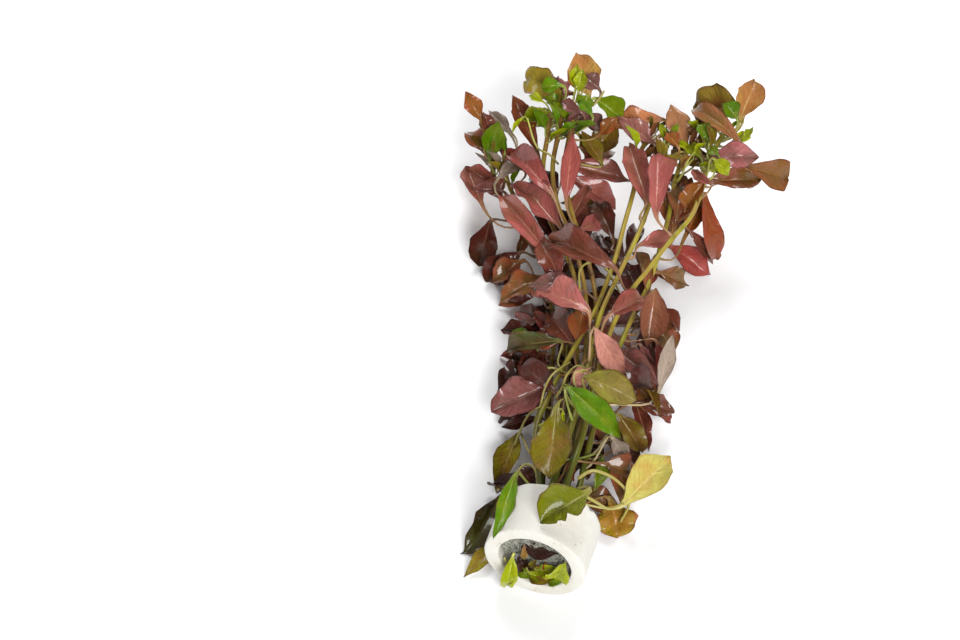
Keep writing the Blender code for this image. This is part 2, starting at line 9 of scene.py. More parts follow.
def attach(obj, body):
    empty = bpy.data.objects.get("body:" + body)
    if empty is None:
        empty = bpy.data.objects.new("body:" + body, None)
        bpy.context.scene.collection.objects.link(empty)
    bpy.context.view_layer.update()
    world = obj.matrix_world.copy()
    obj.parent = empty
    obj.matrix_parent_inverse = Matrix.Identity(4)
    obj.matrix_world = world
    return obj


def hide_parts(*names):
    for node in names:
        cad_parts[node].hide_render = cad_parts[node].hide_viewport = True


mm = 0.001

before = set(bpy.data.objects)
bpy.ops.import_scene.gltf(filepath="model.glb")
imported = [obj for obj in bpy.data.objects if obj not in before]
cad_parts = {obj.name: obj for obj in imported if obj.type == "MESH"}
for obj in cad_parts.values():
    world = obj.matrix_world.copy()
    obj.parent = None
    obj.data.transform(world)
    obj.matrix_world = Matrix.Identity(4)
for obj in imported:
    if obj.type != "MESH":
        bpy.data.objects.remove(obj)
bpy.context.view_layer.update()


def srgb(red, green, blue):  # a colour as a picture shows it, 0 to 255
    def straight(value):
        value /= 255
        return value / 12.92 if value <= 0.04045 else ((value + 0.055) / 1.055) ** 2.4
    return straight(red), straight(green), straight(blue), 1


# Camera, lights and floor

cameraSettings = {
    "place": (0.0843, -0.3191, 0.4882),
    "elevation": 49,  # degrees above the table
    "azimuth": 18,
    "lens": 75,
    "sensor": 36,
}
lightSettings = {
    "sky": 0.34,
    "key": {"place": (0.95, -1.3, 1.3), "size": 0.9, "power": 46},
    "back": {"place": (-0.35, 1.05, 1.35), "size": 0.8, "power": 17},
    "aim": (-0.01, 0.08, 0.01),
}
floorSettings = {
    "half": 2.5,  # half its side, in metres
    "colour": (249, 249, 250),
    "roughness": 0.7,
}


def makeCamera():
    camera = bpy.data.objects.new("camera", bpy.data.cameras.new("camera"))
    bpy.context.scene.collection.objects.link(camera)
    camera.data.lens = cameraSettings["lens"]
    camera.data.sensor_width = cameraSettings["sensor"]
    camera.location = cameraSettings["place"]
    camera.rotation_euler = (math.radians(90 - cameraSettings["elevation"]), 0,
                             math.radians(cameraSettings["azimuth"]))
    bpy.context.scene.camera = camera


def makeLights():
    world = bpy.data.worlds.new("softbox")
    world.use_nodes = True
    sky = world.node_tree.nodes["Background"].inputs
    sky["Color"].default_value = (1, 1, 1, 1)
    sky["Strength"].default_value = lightSettings["sky"]
    bpy.context.scene.world = world
    for name in ("key", "back"):
        settings = lightSettings[name]
        lamp = bpy.data.lights.new(name, "AREA")
        lamp.size = settings["size"]
        lamp.energy = settings["power"]
        holder = bpy.data.objects.new(name, lamp)
        holder.location = settings["place"]
        towards = Vector(lightSettings["aim"]) - holder.location
        holder.rotation_euler = towards.to_track_quat("-Z", "Y").to_euler()
        bpy.context.scene.collection.objects.link(holder)
    bpy.context.scene.view_settings.view_transform = "Standard"


def makeFloor():
    bm = bmesh.new()
    bmesh.ops.create_grid(bm, x_segments=2, y_segments=2, size=floorSettings["half"])
    look = plainMaterial("floor", srgb(*floorSettings["colour"]), floorSettings["roughness"])
    floor = meshObject("floor", bm, [look])


def meshObject(name, bm, materials):
    mesh = bpy.data.meshes.new(name)
    bm.to_mesh(mesh)
    bm.free()
    mesh.shade_smooth()
    for material in materials:
        mesh.materials.append(material)
    piece = bpy.data.objects.new(name, mesh)
    bpy.context.scene.collection.objects.link(piece)
    return piece


# Materials

def plainMaterial(name, colour, roughness):
    material = bpy.data.materials.new(name)
    material.use_nodes = True
    shader = material.node_tree.nodes["Principled BSDF"]
    shader.inputs["Base Color"].default_value = colour
    shader.inputs["Roughness"].default_value = roughness
    return material


class Wiring:  # short names for adding and joining the nodes of one tree
    def __init__(self, tree):
        self.tree = tree

    def add(self, kind, **values):
        node = self.tree.nodes.new(kind)
        for key, value in values.items():
            setattr(node, key, value)
        return node

    def join(self, source, socket):
        if hasattr(source, "is_output"):
            self.tree.links.new(source, socket)
        else:
            socket.default_value = source

    def attribute(self, name):
        return self.add("ShaderNodeAttribute", attribute_name=name).outputs["Fac"]

    def place(self):
        return self.add("ShaderNodeTexCoord").outputs["Object"]

    def sum(self, kind, first, second=0.0, third=0.0):
        node = self.add("ShaderNodeMath", operation=kind)
        for source, socket in zip((first, second, third), node.inputs):
            self.join(source, socket)
        return node.outputs[0]

    def ramp(self, value, low, high, start=0.0, end=1.0):
        node = self.add("ShaderNodeMapRange", interpolation_type="SMOOTHSTEP")
        for source, socket in zip((value, low, high, start, end), node.inputs):
            self.join(source, socket)
        return node.outputs["Result"]

    def mix(self, amount, first, second, blend="MIX"):
        node = self.add("ShaderNodeMix", data_type="RGBA", blend_type=blend)
        self.join(amount, node.inputs[0])
        self.join(first, node.inputs[6])
        self.join(second, node.inputs[7])
        return node.outputs[2]

    def grey(self, value):
        node = self.add("ShaderNodeCombineColor")
        for socket in node.inputs:
            self.join(value, socket)
        return node.outputs[0]

    def noise(self, place, scale, detail=3.0, roughness=0.5):
        node = self.add("ShaderNodeTexNoise")
        self.join(place, node.inputs["Vector"])
        self.join(scale, node.inputs["Scale"])
        self.join(detail, node.inputs["Detail"])
        self.join(roughness, node.inputs["Roughness"])
        return node.outputs["Fac"]

    def bump(self, height, strength, distance):
        node = self.add("ShaderNodeBump")
        self.join(strength, node.inputs["Strength"])
        self.join(distance, node.inputs["Distance"])
        self.join(height, node.inputs["Height"])
        return node.outputs["Normal"]


def newGroup(name, colours, numbers):  # gives a colour, a roughness and a height
    group = bpy.data.node_groups.new(name, "ShaderNodeTree")
    sockets = [(title, "INPUT", "NodeSocketColor") for title in colours]
    sockets += [(title, "INPUT", "NodeSocketFloat") for title in numbers]
    sockets += [("Color", "OUTPUT", "NodeSocketColor"), ("Roughness", "OUTPUT", "NodeSocketFloat"),
                ("Height", "OUTPUT", "NodeSocketFloat")]
    for title, direction, kind in sockets:
        group.interface.new_socket(title, in_out=direction, socket_type=kind)
    given = group.nodes.new("NodeGroupInput").outputs
    out = group.nodes.new("NodeGroupOutput").inputs
    return group, Wiring(group), given, out


def leafGroup():  # a leaf's colour, roughness and relief from its own across and along values
    group, w, given, out = newGroup("leaf surface", leafColours, ("Roughness", "Mottle", "Veins"))
    place = w.place()
    across, along = w.attribute("across"), w.attribute("along")
    stalk, under = w.attribute("stalk"), w.attribute("under")
    tone, flushed = w.attribute("tone"), w.attribute("flush")
    blade = w.sum("SUBTRACT", 1.0, stalk)
    away = w.sum("ABSOLUTE", across)
    patches = w.noise(place, 170.0, 3.0, 0.6)
    fine = w.noise(place, 1500.0, 2.0, 0.6)

    shifted = w.sum("MULTIPLY_ADD", flushed, 0.5, w.sum("SUBTRACT", patches, 0.35))
    shifted = w.sum("MULTIPLY_ADD", along, 0.12, shifted)
    shifted = w.sum("MULTIPLY_ADD", away, -0.22, w.sum("ADD", shifted, 0.16))
    flush = w.sum("MULTIPLY", w.ramp(shifted, 0.3, 0.7), given["Mottle"])
    skin = w.mix(flush, given["Top"], given["Flush"])
    edge = w.ramp(w.sum("MULTIPLY_ADD", patches, 0.16, away), 0.94, 1.08)
    skin = w.mix(w.sum("MULTIPLY", edge, 0.8), skin, given["Edge"])
    pale = w.mix(w.ramp(patches, 0.35, 0.7, 0.0, 0.35), given["Under"], given["Flush"])
    skin = w.mix(w.ramp(under, 0.45, 0.55), skin, pale)

    side = w.sum("GREATER_THAN", across, 0.0)
    rise = w.sum("MULTIPLY", w.sum("POWER", away, 0.8), -2.2)
    phase = w.sum("MULTIPLY_ADD", along, 8.0, w.sum("MULTIPLY_ADD", side, 0.5, rise))
    phase = w.sum("MULTIPLY_ADD", patches, 0.8, phase)
    offset = w.sum("ABSOLUTE", w.sum("SUBTRACT", w.sum("FRACT", phase), 0.5))
    line = w.ramp(offset, 0.0, 0.1, 1.0, 0.0)
    line = w.sum("MULTIPLY", line, w.ramp(away, 0.6, 0.97, 1.0, 0.1))
    line = w.sum("MULTIPLY", w.sum("MULTIPLY", line, blade), given["Veins"])
    width = w.ramp(along, 0.0, 1.0, 0.06, 0.012)
    midrib = w.ramp(w.sum("SUBTRACT", away, width), -0.04, 0.03, 1.0, 0.0)
    skin = w.mix(w.sum("MULTIPLY", line, 0.14), skin, given["Vein"])
    skin = w.mix(w.sum("MULTIPLY", midrib, w.ramp(along, 0.05, 0.8, 0.7, 0.1)), skin, given["Vein"])
    stem = w.mix(w.ramp(patches, 0.4, 0.65, 0.0, 0.6), given["Stalk"], given["Vein"])
    skin = w.mix(stalk, skin, stem)
    streaked = w.add("ShaderNodeCombineXYZ")
    w.join(w.sum("MULTIPLY_ADD", away, -3.2, w.sum("MULTIPLY", along, 13.0)), streaked.inputs[0])
    w.join(w.sum("MULTIPLY", across, 1.6), streaked.inputs[1])
    w.join(w.sum("MULTIPLY", tone, 37.0), streaked.inputs[2])
    streaks = w.noise(streaked.outputs[0], 1.0, 3.0, 0.6)
    shade = w.sum("MULTIPLY_ADD", tone, 0.5, w.sum("MULTIPLY_ADD", fine, 0.2, 0.38))
    shade = w.sum("MULTIPLY_ADD", w.sum("MULTIPLY", streaks, blade), 0.48, shade)
    skin = w.mix(1.0, skin, w.grey(shade), "MULTIPLY")
    w.join(skin, out["Color"])

    gloss = w.sum("MULTIPLY_ADD", patches, 0.24, w.sum("SUBTRACT", given["Roughness"], 0.1))
    w.join(w.sum("MULTIPLY_ADD", under, 0.12, gloss), out["Roughness"])
    wrinkles = w.noise(place, 420.0, 2.0, 0.5)
    relief = w.sum("MULTIPLY_ADD", line, -0.3, w.sum("MULTIPLY", fine, 0.12))
    relief = w.sum("MULTIPLY_ADD", wrinkles, 1.0, relief)
    relief = w.sum("MULTIPLY_ADD", w.sum("MULTIPLY", streaks, blade), 1.1, relief)
    w.join(w.sum("MULTIPLY_ADD", patches, 0.9, relief), out["Height"])
    return group


def stemGroup():
    group, w, given, out = newGroup("stem surface", stemColours, ("Roughness",))
    place = w.place()
    along, node, tone = w.attribute("along"), w.attribute("node"), w.attribute("tone")
    longer = w.add("ShaderNodeMapping")
    w.join(place, longer.inputs["Vector"])
    w.join((1.0, 0.12, 0.5), longer.inputs["Scale"])
    streaks = w.noise(longer.outputs[0], 1500.0, 3.0, 0.55)
    patches = w.noise(place, 110.0, 3.0, 0.55)
    fine = w.noise(place, 2600.0, 2.0, 0.6)
    flush = w.ramp(w.sum("MULTIPLY_ADD", tone, 0.2, patches), 0.45, 0.72)
    skin = w.mix(flush, given["Skin"], given["Flush"])
    skin = w.mix(w.ramp(streaks, 0.45, 0.75, 0.0, 0.35), skin, given["Flush"])
    skin = w.mix(w.sum("MULTIPLY", node, 0.75), skin, given["Node"])
    # Painted shade: the stems turn darker towards their foot, standing for the shade they lie in near the
    # ring
    skin = w.mix(w.ramp(along, 0.12, 0.6, 0.85, 0.0), skin, given["ShadedFoot"])
    shade = w.sum("MULTIPLY_ADD", fine, 0.2, w.sum("MULTIPLY_ADD", tone, 0.2, 0.78))
    w.join(w.mix(1.0, skin, w.grey(shade), "MULTIPLY"), out["Color"])
    gloss = w.sum("SUBTRACT", given["Roughness"], 0.1)
    w.join(w.sum("MULTIPLY_ADD", patches, 0.2, gloss), out["Roughness"])
    w.join(w.sum("MULTIPLY_ADD", streaks, 0.6, w.sum("MULTIPLY", fine, 0.3)), out["Height"])
    return group


# The six colours of a leaf, then roughness, mottle, veins and coat
leafColours = ("Top", "Flush", "Under", "Vein", "Edge", "Stalk")
leafLooks = {
    "wine": ((126, 52, 44), (94, 60, 36), (138, 78, 70), (178, 116, 90), (62, 26, 20), (150, 116, 76),
             0.32, 0.7, 0.8, 0.65),
    "pink": ((158, 80, 74), (118, 82, 54), (170, 104, 98), (194, 138, 112), (88, 38, 32), (160, 128, 84),
             0.36, 0.6, 1.0, 0.6),
    "mauve": ((140, 82, 78), (104, 76, 62), (146, 98, 96), (158, 112, 98), (72, 36, 34), (150, 116, 80),
              0.34, 0.7, 1.0, 0.6),
    "brown": ((136, 70, 44), (102, 80, 36), (146, 88, 64), (176, 122, 80), (62, 30, 20), (156, 120, 74),
              0.3, 0.8, 0.7, 0.65),
    "dark": ((78, 32, 24), (62, 42, 24), (86, 44, 38), (108, 66, 48), (30, 14, 12), (122, 88, 54),
             0.3, 0.7, 0.6, 0.6),
    "orange": ((152, 66, 28), (124, 86, 30), (156, 88, 52), (194, 132, 78), (92, 36, 20), (172, 140, 82),
               0.34, 0.7, 0.8, 0.4),
    "amber": ((180, 142, 66), (158, 92, 54), (184, 144, 90), (218, 190, 120), (146, 74, 50), (188, 178, 92),
              0.34, 0.7, 0.7, 0.4),
    "salmon": ((200, 136, 124), (168, 112, 92), (184, 128, 114), (214, 166, 138), (132, 72, 60),
               (188, 158, 110), 0.38, 0.6, 0.8, 0.35),
    "olive": ((122, 112, 20), (112, 74, 32), (120, 100, 54), (166, 154, 72), (84, 52, 24), (176, 164, 90),
              0.34, 0.8, 0.7, 0.35),
    "green": ((84, 122, 2), (116, 124, 16), (104, 118, 44), (160, 178, 72), (104, 70, 26), (176, 178, 92),
              0.32, 0.7, 0.6, 0.3),
    "lime": ((160, 168, 14), (130, 142, 6), (158, 158, 52), (200, 202, 96), (164, 160, 60),
             (190, 190, 100), 0.34, 0.7, 0.5, 0.35),
    "yellow": ((188, 178, 90), (184, 136, 66), (186, 170, 100), (222, 210, 134), (158, 132, 60),
               (206, 198, 122), 0.4, 0.7, 0.5, 0.25),
    "grey": ((146, 130, 116), (112, 92, 76), (142, 120, 110), (176, 160, 142), (84, 60, 50),
             (176, 160, 108), 0.34, 0.7, 0.7, 0.45),
}
# The four colours of the stems on the left, in the middle and on the right, the last a darker foot that is
# painted shade near the ring, then roughness
stemColours = ("Skin", "Flush", "Node", "ShadedFoot")
stemLooks = {
    "stem_l": ((128, 104, 40), (112, 78, 42), (86, 58, 34), (52, 48, 16), 0.36),
    "stem_m": ((150, 130, 50), (132, 96, 46), (98, 70, 36), (50, 54, 12), 0.36),
    "stem_r": ((158, 152, 44), (150, 126, 52), (112, 98, 40), (56, 70, 12), 0.34),
}
surfaceSettings = {
    "specular": 0.12,
    "coatRoughness": 0.14,
    "leafBump": (0.8, 0.6 * mm),  # strength and distance
    "stemBump": (0.5, 0.2 * mm),
    "stemCoat": 0.25,
}


def groupMaterial(name, group, colours, numbers, coat, bump):
    material = bpy.data.materials.new(name)
    material.use_nodes = True
    w = Wiring(material.node_tree)
    shader = material.node_tree.nodes["Principled BSDF"]
    surface = w.add("ShaderNodeGroup", node_tree=group)
    for title, colour in colours.items():
        surface.inputs[title].default_value = srgb(*colour)
    for title, value in numbers.items():
        surface.inputs[title].default_value = value
    w.join(surface.outputs["Color"], shader.inputs["Base Color"])
    w.join(surface.outputs["Roughness"], shader.inputs["Roughness"])
    w.join(w.bump(surface.outputs["Height"], *bump), shader.inputs["Normal"])
    shader.inputs["Specular IOR Level"].default_value = surfaceSettings["specular"]
    shader.inputs["Coat Weight"].default_value = coat
    shader.inputs["Coat Roughness"].default_value = surfaceSettings["coatRoughness"]
    return material


def makeMaterials():
    materials = {}
    leafSurface = leafGroup()
    for name, values in leafLooks.items():
        roughness, mottle, veins, coat = values[6:]
        materials[name] = groupMaterial(name + " leaf", leafSurface, dict(zip(leafColours, values)),
                                        {"Roughness": roughness, "Mottle": mottle, "Veins": veins},
                                        coat, surfaceSettings["leafBump"])
    stemSurface = stemGroup()
    for name, values in stemLooks.items():
        materials[name] = groupMaterial(name, stemSurface, dict(zip(stemColours, values)),
                                        {"Roughness": values[4]}, surfaceSettings["stemCoat"],
                                        surfaceSettings["stemBump"])
    materials["ceramic"] = ceramicMaterial()
    materials["wool"] = woolMaterial("wool", (150, 150, 138), (88, 88, 76))
    materials["fibre"] = woolMaterial("fibre", (196, 196, 184), (140, 140, 126))
    return materials


def ceramicMaterial():  # chalky, with fine grain, pin holes and faint stains
    material = plainMaterial("ceramic", srgb(214, 211, 202), 0.85)
    w = Wiring(material.node_tree)
    shader = material.node_tree.nodes["Principled BSDF"]
    place = w.place()
    cloud = w.noise(place, 90.0, 4.0, 0.6)
    grain = w.noise(place, 1900.0, 3.0, 0.65)
    holes = w.add("ShaderNodeTexVoronoi", feature="F1")
    w.join(place, holes.inputs["Vector"])
    holes.inputs["Scale"].default_value = 520
    hole = w.ramp(holes.outputs["Distance"], 0.1, 0.22, 1.0, 0.0)
    hole = w.sum("MULTIPLY", hole, w.ramp(cloud, 0.48, 0.6))
    colour = w.mix(w.ramp(cloud, 0.4, 0.72, 0.0, 0.55), srgb(214, 212, 204), srgb(198, 190, 170))
    colour = w.mix(w.ramp(grain, 0.56, 0.74, 0.0, 0.3), colour, srgb(178, 168, 146))
    colour = w.mix(w.sum("MULTIPLY", hole, 0.55), colour, srgb(140, 130, 110))
    w.join(colour, shader.inputs["Base Color"])
    w.join(w.ramp(grain, 0.3, 0.7, 0.8, 0.96), shader.inputs["Roughness"])
    height = w.sum("MULTIPLY_ADD", cloud, 0.6, w.sum("MULTIPLY", hole, -0.8))
    height = w.sum("MULTIPLY_ADD", grain, 0.7, height)
    w.join(w.bump(height, 0.7, 0.25 * mm), shader.inputs["Normal"])
    return material


def woolMaterial(name, light, deep):
    material = plainMaterial(name, srgb(*light), 0.95)
    w = Wiring(material.node_tree)
    shader = material.node_tree.nodes["Principled BSDF"]
    place = w.place()
    tufts = w.noise(place, 420.0, 4.0, 0.65)
    strands = w.noise(place, 2600.0, 2.0, 0.6)
    colour = w.mix(w.ramp(tufts, 0.35, 0.62), srgb(*deep), srgb(*light))
    colour = w.mix(w.ramp(strands, 0.5, 0.7, 0.0, 0.4), colour, srgb(206, 204, 190))
    w.join(colour, shader.inputs["Base Color"])
    w.join(w.ramp(strands, 0.3, 0.7, 0.86, 1.0), shader.inputs["Roughness"])
    height = w.sum("MULTIPLY_ADD", strands, 0.6, tufts)
    w.join(w.bump(height, 0.9, 0.5 * mm), shader.inputs["Normal"])
    return material


# How the bunch grows: routes of the stems, seats of the leaves and room between them

growth = {
    "gap": 0.3 * mm,
    "stemFoot": 1.25 * mm,
    "stemTop": 0.95 * mm,
    "stemSides": 6,
    "stemStep": 9 * mm,
    "stalk": 0.5 * mm,
    "blade": 0.8 * mm,
    "outline": (0.5, 1.3, 0.9),  # where it is widest, how it tapers and how it ends
    "tip": 0.15 * mm,
    "crease": 0.12,  # share of the blade over which it folds
    "leafSteps": (3, 6),
    "shootSteps": (2, 4),
    "front": Vector((0.2, -0.62, 0.76)),
    "clearance": 0.35 * mm,
    "tableClearance": 0.15 * mm,
    "rises": (0, 1, -1, 2, -2, 3.5, -3.5, 5, -5, 7),
    "tipRises": (0, 2, -2, 4, -4),
    "rolls": (0, 20, -20, 40, -40),
    "tipRiseCost": 0.6,
    "rollCost": 0.06,
    "tries": {"extra": 250, "crown": 40, "deep": 40},
}
lowLeaves = {  # millimetres and degrees
    "start": 26,
    "step": 20,
    "stepShift": 0.3,
    "levels": 4,
    "below": 3,  # how far down the stem the stalk begins
    "sides": {"l1": -1, "l2": 1, "m1": -1, "m2": -1, "m3": 1, "r1": -1, "r3": 1, "r4": 1},
    "stalk": (6, 9),
    "length": (16, 22),
    "width": (9, 12),
    "turn": (40, 125),
    "sink": (-4, 0),
    "drop": (2, 9),
    "cup": (15, 40),
    "roll": (-25, 25),
    "looks": ("dark", "brown", "wine", "dark", "mauve", "olive"),
    "left": -32,
    "right": 18,
    "lowest": 2.5,
    "highest": 18,
    "unseen": (12, 15, 16, 20, 21),  # these would hide larger leaves
}


def leaf(stem, at, base, tip, width, look, **form):  # millimetres along the stem, blade from base to tip
    row = {"stem": stem, "at": at * mm, "base": Vector(base) * mm, "tip": Vector(tip) * mm,
           "width": width * mm, "look": look, "roll": 0, "bend": 20, "sway": 0, "cup": 25,
           "twist": 0, "fold": 0, "fold_at": 0.7, "lies": False, "face": 0.6}
    row.update(form)
    return row


stemRoutes = {
    "l1": ((-5.2, -4, 12.9), (-5.2, 12, 12.9), (-10, 34, 11.5), (-15.5, 58, 10.5), (-21, 80, 9.8),
           (-30, 103, 9), (-42, 117, 9), (-52, 127, 11), (-58, 134, 14), (-60, 139, 20)),
    "l2": ((-1.7, -5, 11.5), (-1.7, 12, 11.5), (-5.8, 34, 11.5), (-10.5, 58, 12.3), (-16, 78, 13),
           (-25, 100, 13), (-35, 113, 13.5), (-47, 125, 15), (-53, 132, 18), (-55.5, 137, 24)),
    "m1": ((1.8, -4.5, 12), (1.8, 12, 12), (-1.5, 34, 12), (-7, 58, 13.3), (-11.5, 73, 14.5),
           (-19, 96, 17.5), (-29, 109, 21), (-36.5, 119, 24), (-39.8, 129, 29), (-41.5, 140, 34.5),
           (-43, 147, 37)),
    "m2": ((-1.4, -5, 15.5), (-1.4, 12, 15.5), (-4.5, 34, 16.3), (-5.8, 58, 17.5), (-8.5, 73, 17),
           (-14, 90, 20), (-23, 107, 23), (-31.5, 118, 26), (-36.5, 129, 31), (-38, 142, 36.5),
           (-39.5, 149, 38.5)),
    "m3": ((2.2, -4, 15.8), (2.2, 12, 15.8), (-0.8, 34, 16), (-2.6, 58, 16), (-5.3, 73, 16.5),
           (-11.3, 92.5, 17.3), (-19.4, 107.5, 20.5), (-25.6, 115.4, 25.3), (-32.6, 129, 30),
           (-34.5, 144, 37), (-35, 151, 39)),
    "r1": ((-4.6, -4.5, 16.7), (-4.6, 12, 16.7), (-13, 34, 15), (-13.3, 50, 15.8), (-11, 66, 18.5),
           (-8.2, 82, 22), (-7.5, 100, 25), (-8.3, 114.5, 27), (-9.2, 130, 29), (-11, 142, 32),
           (-9, 150, 34)),
    "r2": ((-2.2, -5, 19.3), (-2.2, 12, 19.3), (-2.5, 34, 20.3), (-4, 58, 21.5), (-5.6, 77, 24.6),
           (-4.2, 94, 27), (-2.7, 109, 29), (-2.5, 124, 30), (-2.5, 138, 33), (-3, 146, 36)),
    "r3": ((1.6, -4.2, 19.8), (1.6, 12, 19.8), (1.5, 34, 21), (-0.5, 58, 22.8), (-0.6, 75, 25.5),
           (1.7, 88, 28.2), (4.3, 95, 30), (8.2, 107.6, 32), (12, 117.3, 34), (12.7, 127, 35),
           (12.3, 137.7, 37), (13, 145, 39.5), (14.5, 151, 41)),
    "r4": ((5.3, -4.8, 14.2), (5.3, 12, 14.2), (3.5, 34, 15.5), (2, 58, 17), (2.5, 80, 18),
           (4.6, 99, 21), (4.1, 122, 25), (2.6, 137, 29), (3.4, 144, 33), (5, 149, 36)),
}

largeLeaves = [
    leaf("m2", 147, (-41, 154, 38), (-56, 156.5, 42), 10, "olive", fold=40, cup=15),
    leaf("m3", 149, (-33, 157.5, 39), (-41, 169.5, 45), 10.5, "orange", cup=20),
    leaf("m3", 147, (-29, 154.5, 40), (-20, 153, 35), 12, "green", cup=35),
    leaf("m1", 128, (-45, 139, 27), (-58, 154, 33), 8, "brown", fold=-40, bend=10),
    leaf("m3", 143, (-22, 154, 32), (-27, 145, 24), 10.5, "olive"),
    leaf("m3", 110, (-28.5, 117.5, 30.5), (-32.5, 137.5, 40.5), 8.5, "pink", cup=40),
    leaf("m3", 126, (-32, 137, 25.5), (-13, 141.5, 19), 11, "pink"),
    leaf("m2", 122, (-32, 136.5, 20), (-16.5, 138.5, 8), 11.5, "pink", cup=30),
    leaf("r1", 147, (-7, 156, 36), (-24, 151, 34), 9, "orange"),
    leaf("r2", 142, (-8, 146, 35), (-21, 151, 37), 9, "pink"),
    leaf("r2", 116, (-3.5, 122.5, 31), (-15.5, 143, 35), 10.5, "pink", cup=35),
    leaf("r3", 109, (1.5, 114.5, 36), (-4, 137, 40), 12, "pink", cup=40),
    leaf("r4", 143, (3, 146, 36), (-5.5, 158, 41), 10, "brown"),
    leaf("r3", 148, (16.5, 162.5, 40), (0.5, 164, 38), 13, "olive"),
    leaf("r3", 149, (18, 159.5, 42), (19.5, 172.5, 48), 9.5, "orange"),
    leaf("r3", 144, (19.5, 148, 42), (0, 159.5, 42), 9, "brown", bend=50),
    leaf("r3", 138, (13.5, 140, 40), (28, 143.5, 41), 9.5, "mauve"),
    leaf("r3", 141, (24, 143, 36), (37.5, 150.5, 28), 11.5, "orange", fold=-20),
    leaf("r3", 130, (13.5, 136, 33), (29.5, 145, 30), 9, "brown"),
    leaf("r3", 127, (13.5, 132.5, 32), (23.5, 125.5, 9), 8.5, "orange", cup=15, sway=25),
    leaf("r3", 113, (11, 126, 20), (21, 125, 8), 5.5, "wine"),
    leaf("r4", 112, (5.5, 128.5, 7.5), (20, 125.5, 1), 11, "wine", lies=True),
    leaf("r2", 101, (-1, 108.5, 28.5), (8, 115.5, 26), 8, "pink"),
    leaf("r4", 114, (6, 127, 20), (6, 143, 25), 10.5, "brown"),
    leaf("r3", 88, (-6.5, 92.5, 31), (-31, 103.5, 25), 13.5, "wine", cup=35),
    leaf("r2", 70, (-10, 76.5, 27), (-28.5, 85, 22), 15, "pink", cup=30),
    leaf("r2", 66, (-1.5, 75.5, 29), (6.5, 85, 29), 9.5, "pink"),
    leaf("r4", 87, (7.5, 93.5, 23), (9.5, 79, 12), 14, "brown", cup=45),
    leaf("r4", 84, (8, 95, 13), (17, 93, 8), 9, "wine", cup=60),
    leaf("r1", 74, (-11.5, 79, 23), (-10.5, 68, 19), 8.5, "orange"),
    leaf("r2", 60, (-4.5, 67.5, 29), (8.5, 57, 22), 9, "salmon", bend=-10, twist=20),
    leaf("l1", 82, (-27, 94.5, 4), (-27, 78.5, 1), 11.5, "dark", lies=True),
    leaf("r1", 59, (-16.5, 69, 18), (-33.5, 66, 11), 12, "olive", cup=40),
    leaf("l1", 56, (-16.5, 71, 5.5), (-36, 71.5, 1), 9, "pink", cup=50, lies=True),
    leaf("l2", 42, (-15.5, 53.5, 14), (-29.5, 43.5, 8), 13.5, "mauve", bend=30),
    leaf("l1", 28, (-20, 38, 7), (-21, 19, 1), 9, "olive", lies=True),
    leaf("r1", 14, (-15, 19, 15), (-17, 2.5, 5), 7.5, "green", roll=-60, cup=40),
    leaf("l1", 14, (-19, 14.5, 5), (-23, -5, 1), 11, "dark", lies=True, cup=30),
    leaf("m2", 46, (-8, 37.5, 24.5), (-3.5, 15, 21), 16, "olive", cup=20),
    leaf("r2", 38, (-6, 44, 28), (13, 34, 24), 12.5, "green", bend=35),
    leaf("r3", 46, (-2.5, 50.5, 27), (14, 48, 25), 11.5, "olive", bend=35),
    leaf("r4", 14, (19, 19.5, 14), (27.5, 39, 16), 15, "yellow", cup=15),
    leaf("m1", 13, (14, 23.5, 6), (18.5, 15.5, 1), 12, "orange", lies=True),
    leaf("r3", 12, (10, 4.5, 33.5), (0.5, -7.5, 31.5), 13, "olive", cup=20, bend=30),
    leaf("r4", 44, (11, 60.5, 9.5), (19.5, 49, 1), 9, "wine", cup=50, lies=True),
    leaf("m2", 110, (-34.5, 119, 30), (-54.5, 138, 25), 12.5, "pink", cup=35),
    leaf("l2", 96, (-29.5, 102, 19), (-51.5, 120.5, 21), 12, "pink", cup=40),
    leaf("l1", 122, (-54.5, 118.5, 9.5), (-54.5, 106.5, 1), 11.5, "dark", lies=True),
    leaf("l1", 109, (-41.5, 109, 9), (-49.5, 100.5, 1), 11, "dark", lies=True),
]

